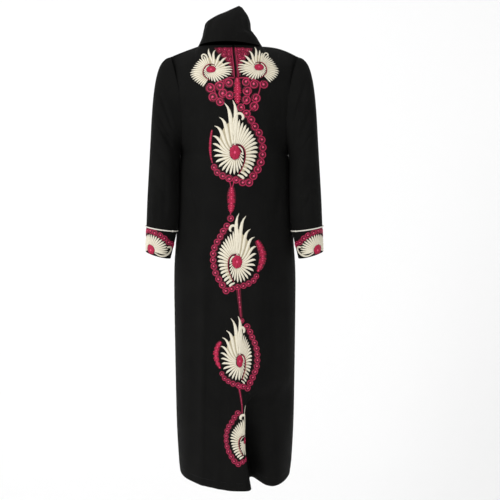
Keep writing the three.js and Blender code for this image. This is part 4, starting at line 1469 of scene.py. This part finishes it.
def on_cuff(side):
    """Places on one cuff, by the length round it and the height over its edge."""
    grid = cuff_grids[side]
    normals = cuff_normals(side)

    def place(s, t):
        row = min(max((1 - t / CUFF_HEIGHT) * CUFF_ROWS, 0), CUFF_ROWS - 0.001)
        i, part = int(row), row - int(row)
        ring = mix(grid[i], grid[i + 1], part)
        lengths = lengths_along(np.vstack((ring, ring[:1])))
        column = float(np.interp(s % lengths[-1], lengths, np.arange(RING + 1)))
        k, share = int(column) % RING, column - int(column)
        after = (k + 1) % RING
        normal_ring = mix(normals[i], normals[i + 1], part)
        return (mix(ring[k], ring[after], share),
                mix(normal_ring[k], normal_ring[after], share))

    return place


def cuff_fan(work, place, centre):
    """The paisley of a cuff: a low fan of feathers over its rosette, under a chain of coils."""
    def spot(angle, radius):
        turn = math.radians(angle)
        return centre[0] + radius * math.cos(turn), centre[1] + radius * math.sin(turn)

    low, high = CUFF_FAN[-1]["angle"], CUFF_FAN[0]["angle"]
    turns = [mix(high, low, k / 40) for k in range(41)]
    solid = [read(CUFF_FAN, "angle", turn, "reach") * read(CUFF_FAN, "angle", turn, "fill")
             for turn in turns]
    # The solid fill is laid in the darker cream, as painted shade in the grooves between the
    # feathers.
    patch(work, "shade", place,
          [[spot(turn, mix(CUFF_ROSETTE[0] * 0.8, edge, share)) for turn, edge in zip(turns, solid)]
           for share in SOLID_SHARES], height=0.7)
    angle, count = high, 0
    while angle >= low:
        row = {column: read(CUFF_FAN, "angle", angle, column) for column in CUFF_FAN[0]}
        path = [spot(angle + row["sweep"] * (1 - i / 9) ** 2,
                     mix(CUFF_ROSETTE[0], row["reach"], i / 9)) for i in range(10)]
        band(work, "cream", place, path, petal_width(row["width"], 0.4), 1.0,
             lift=0.5 + 0.3 * (count % 2))
        angle -= math.degrees(row["gap"] / row["reach"])
        count += 1
    hook = [(centre[0] + u, centre[1] + v) for u, v in CUFF_HOOK]
    band(work, "cream", place, rounded(hook), petal_width(7.4), 1.5, lift=1.0)
    dome(work, "ground", place, centre, tuple(r * 1.1 for r in CUFF_ROSETTE), 0.9,
         lift=0.8, sides=28)
    dome(work, "crimson", place, centre, CUFF_ROSETTE, 1.5, lift=0.9, lobes=7, sides=28)
    dome(work, "pink", place, (centre[0] + 2, centre[1] - 3), (2.8, 3.8), 1.0, lift=2.2, sides=10)
    chain = [(centre[0] + u, centre[1] + v) for u, v in CUFF_CHAIN]
    band(work, "ground", place, rounded(chain), 18, 0.3)
    for k, at in enumerate(chain):
        coil(work, place, at, CUFF_COIL_RADIUS, start=2.4 * k, hand=-1)


for hand, side in HANDS:
    work = new_work()
    cuff_fan(work, on_cuff(side), CUFF_CENTRE)
    sewn_pieces(f"cuff_{hand}", work)

# ---------------------------------------------------------------- hem stitching
# The hem and the cuffs are turned in and sewn down by machine, with one row of stitches a
# little way over the edge.
STITCH = dict(length=3.0, spacing=4.2, width=0.7, height=0.45)
# Black polyester sewing thread, a little glossier than the crepe that it lies on.
BLACK_THREAD = satin_thread("black_sewing_thread", "#17171a", "#0c0c0e")


def machine_stitches(name, rows):
    """Short stitches along rows of places, each row given with its outward normals."""
    points, faces = [], []
    for spots, normals in rows:
        walked = lengths_along(spots)
        for i in range(int((walked[-1] - STITCH["length"]) / STITCH["spacing"])):
            start_at = STITCH["spacing"] * (i + 0.3)
            a, b = (np.array([np.interp(end, walked, spots[:, k]) for k in range(3)])
                    for end in (start_at, start_at + STITCH["length"]))
            normal = normals[int(np.searchsorted(walked, start_at)) - 1]
            across = np.cross(b - a, normal)
            across *= STITCH["width"] / 2 / np.linalg.norm(across)
            top = (a + b) / 2 + normal * STITCH["height"]
            start = len(points)
            points += [a - across, b - across, b + across, a + across,
                       top - across / 2, top + across / 2]
            faces += [tuple(start + k for k in face)
                      for face in ((0, 1, 4), (3, 5, 2), (0, 4, 5, 3), (1, 2, 5, 4), (0, 3, 2, 1))]
    piece = mesh_piece(name, points, faces, [(p[0], p[2]) for p in points], [BLACK_THREAD])
    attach(piece, "root")


for name, grids, halves, facing, row in (("front_hem_stitches", front_grids, FRONT_HALVES, 1, -4),
                                         ("back_hem_stitches", back_grids, BACK_HALVES, -1, -3)):
    machine_stitches(name, [(grid[row], (grid_normals(grid) * half["side"] * facing)[row])
                            for grid, half in zip(grids, halves)])
cuff_rows = []
for side in (-1, 1):
    spots, normals = cuff_grids[side][CUFF_ROWS - 1], cuff_normals(side)[CUFF_ROWS - 1]
    cuff_rows.append((np.vstack((spots, spots[:1])), np.vstack((normals, normals[:1]))))
machine_stitches("cuff_stitches", cuff_rows)

# ---------------------------------------------------------------- studio
# A white sweep behind and under the garment, which hangs clear of it, lit by two large soft
# boxes and white walls.
FLOOR_Z = -2.40
SWEEP_Y = 3.2
SWEEP_RADIUS = 1.2


def white_sweep():
    material, tree, shader = new_material("white_paper_sweep", 0.9, 0.0, 0.1)
    shader.inputs["Base Color"].default_value = colour("#fbfbfb")
    section = [(-6.0, FLOOR_Z)]
    for i in range(13):
        turn = math.pi / 2 * i / 12
        section.append((SWEEP_Y - SWEEP_RADIUS + SWEEP_RADIUS * math.sin(turn),
                        FLOOR_Z + SWEEP_RADIUS * (1 - math.cos(turn))))
    section.append((SWEEP_Y, 4.0))
    points = [(x, y, z) for x in (-7.0, 7.0) for y, z in section]
    count = len(section)
    faces = [(i, i + count, i + count + 1, i + 1) for i in range(count - 1)]
    mesh = bpy.data.meshes.new("white_sweep")
    mesh.from_pydata(points, [], faces)
    mesh.polygons.foreach_set("use_smooth", [True] * len(faces))
    mesh.materials.append(material)
    sweep = bpy.data.objects.new("white_sweep", mesh)
    bpy.context.collection.objects.link(sweep)
    return sweep


white_sweep()


def soft_box(name, place, aim, size, power):
    light = bpy.data.lights.new(name, "AREA")
    light.shape = "RECTANGLE"
    light.size, light.size_y = size
    light.energy = power
    lamp = bpy.data.objects.new(name, light)
    lamp.location = place
    lamp.rotation_euler = (Vector(aim) - Vector(place)).to_track_quat("-Z", "Y").to_euler()
    bpy.context.collection.objects.link(lamp)


soft_box("soft_box_left", (-2.2, -2.4, 0.9), (0, 0, -0.6), (1.6, 2.2), 85)
soft_box("soft_box_right", (2.4, -2.0, 0.5), (0, 0, -0.6), (1.4, 2.2), 10)
world = bpy.data.worlds.new("white_room")
world.use_nodes = True
world.node_tree.nodes["Background"].inputs["Color"].default_value = (1, 1, 1, 1)
world.node_tree.nodes["Background"].inputs["Strength"].default_value = 0.82
bpy.context.scene.world = world
bpy.context.scene.view_settings.view_transform = "Standard"

camera = bpy.data.objects.new("camera", bpy.data.cameras.new("camera"))
camera.location = (0.049, -2.350, -0.355)
camera.rotation_euler = (math.radians(83), 0, 0)
camera.data.lens = 52.92
camera.data.sensor_width = 36
bpy.context.collection.objects.link(camera)
bpy.context.scene.camera = camera
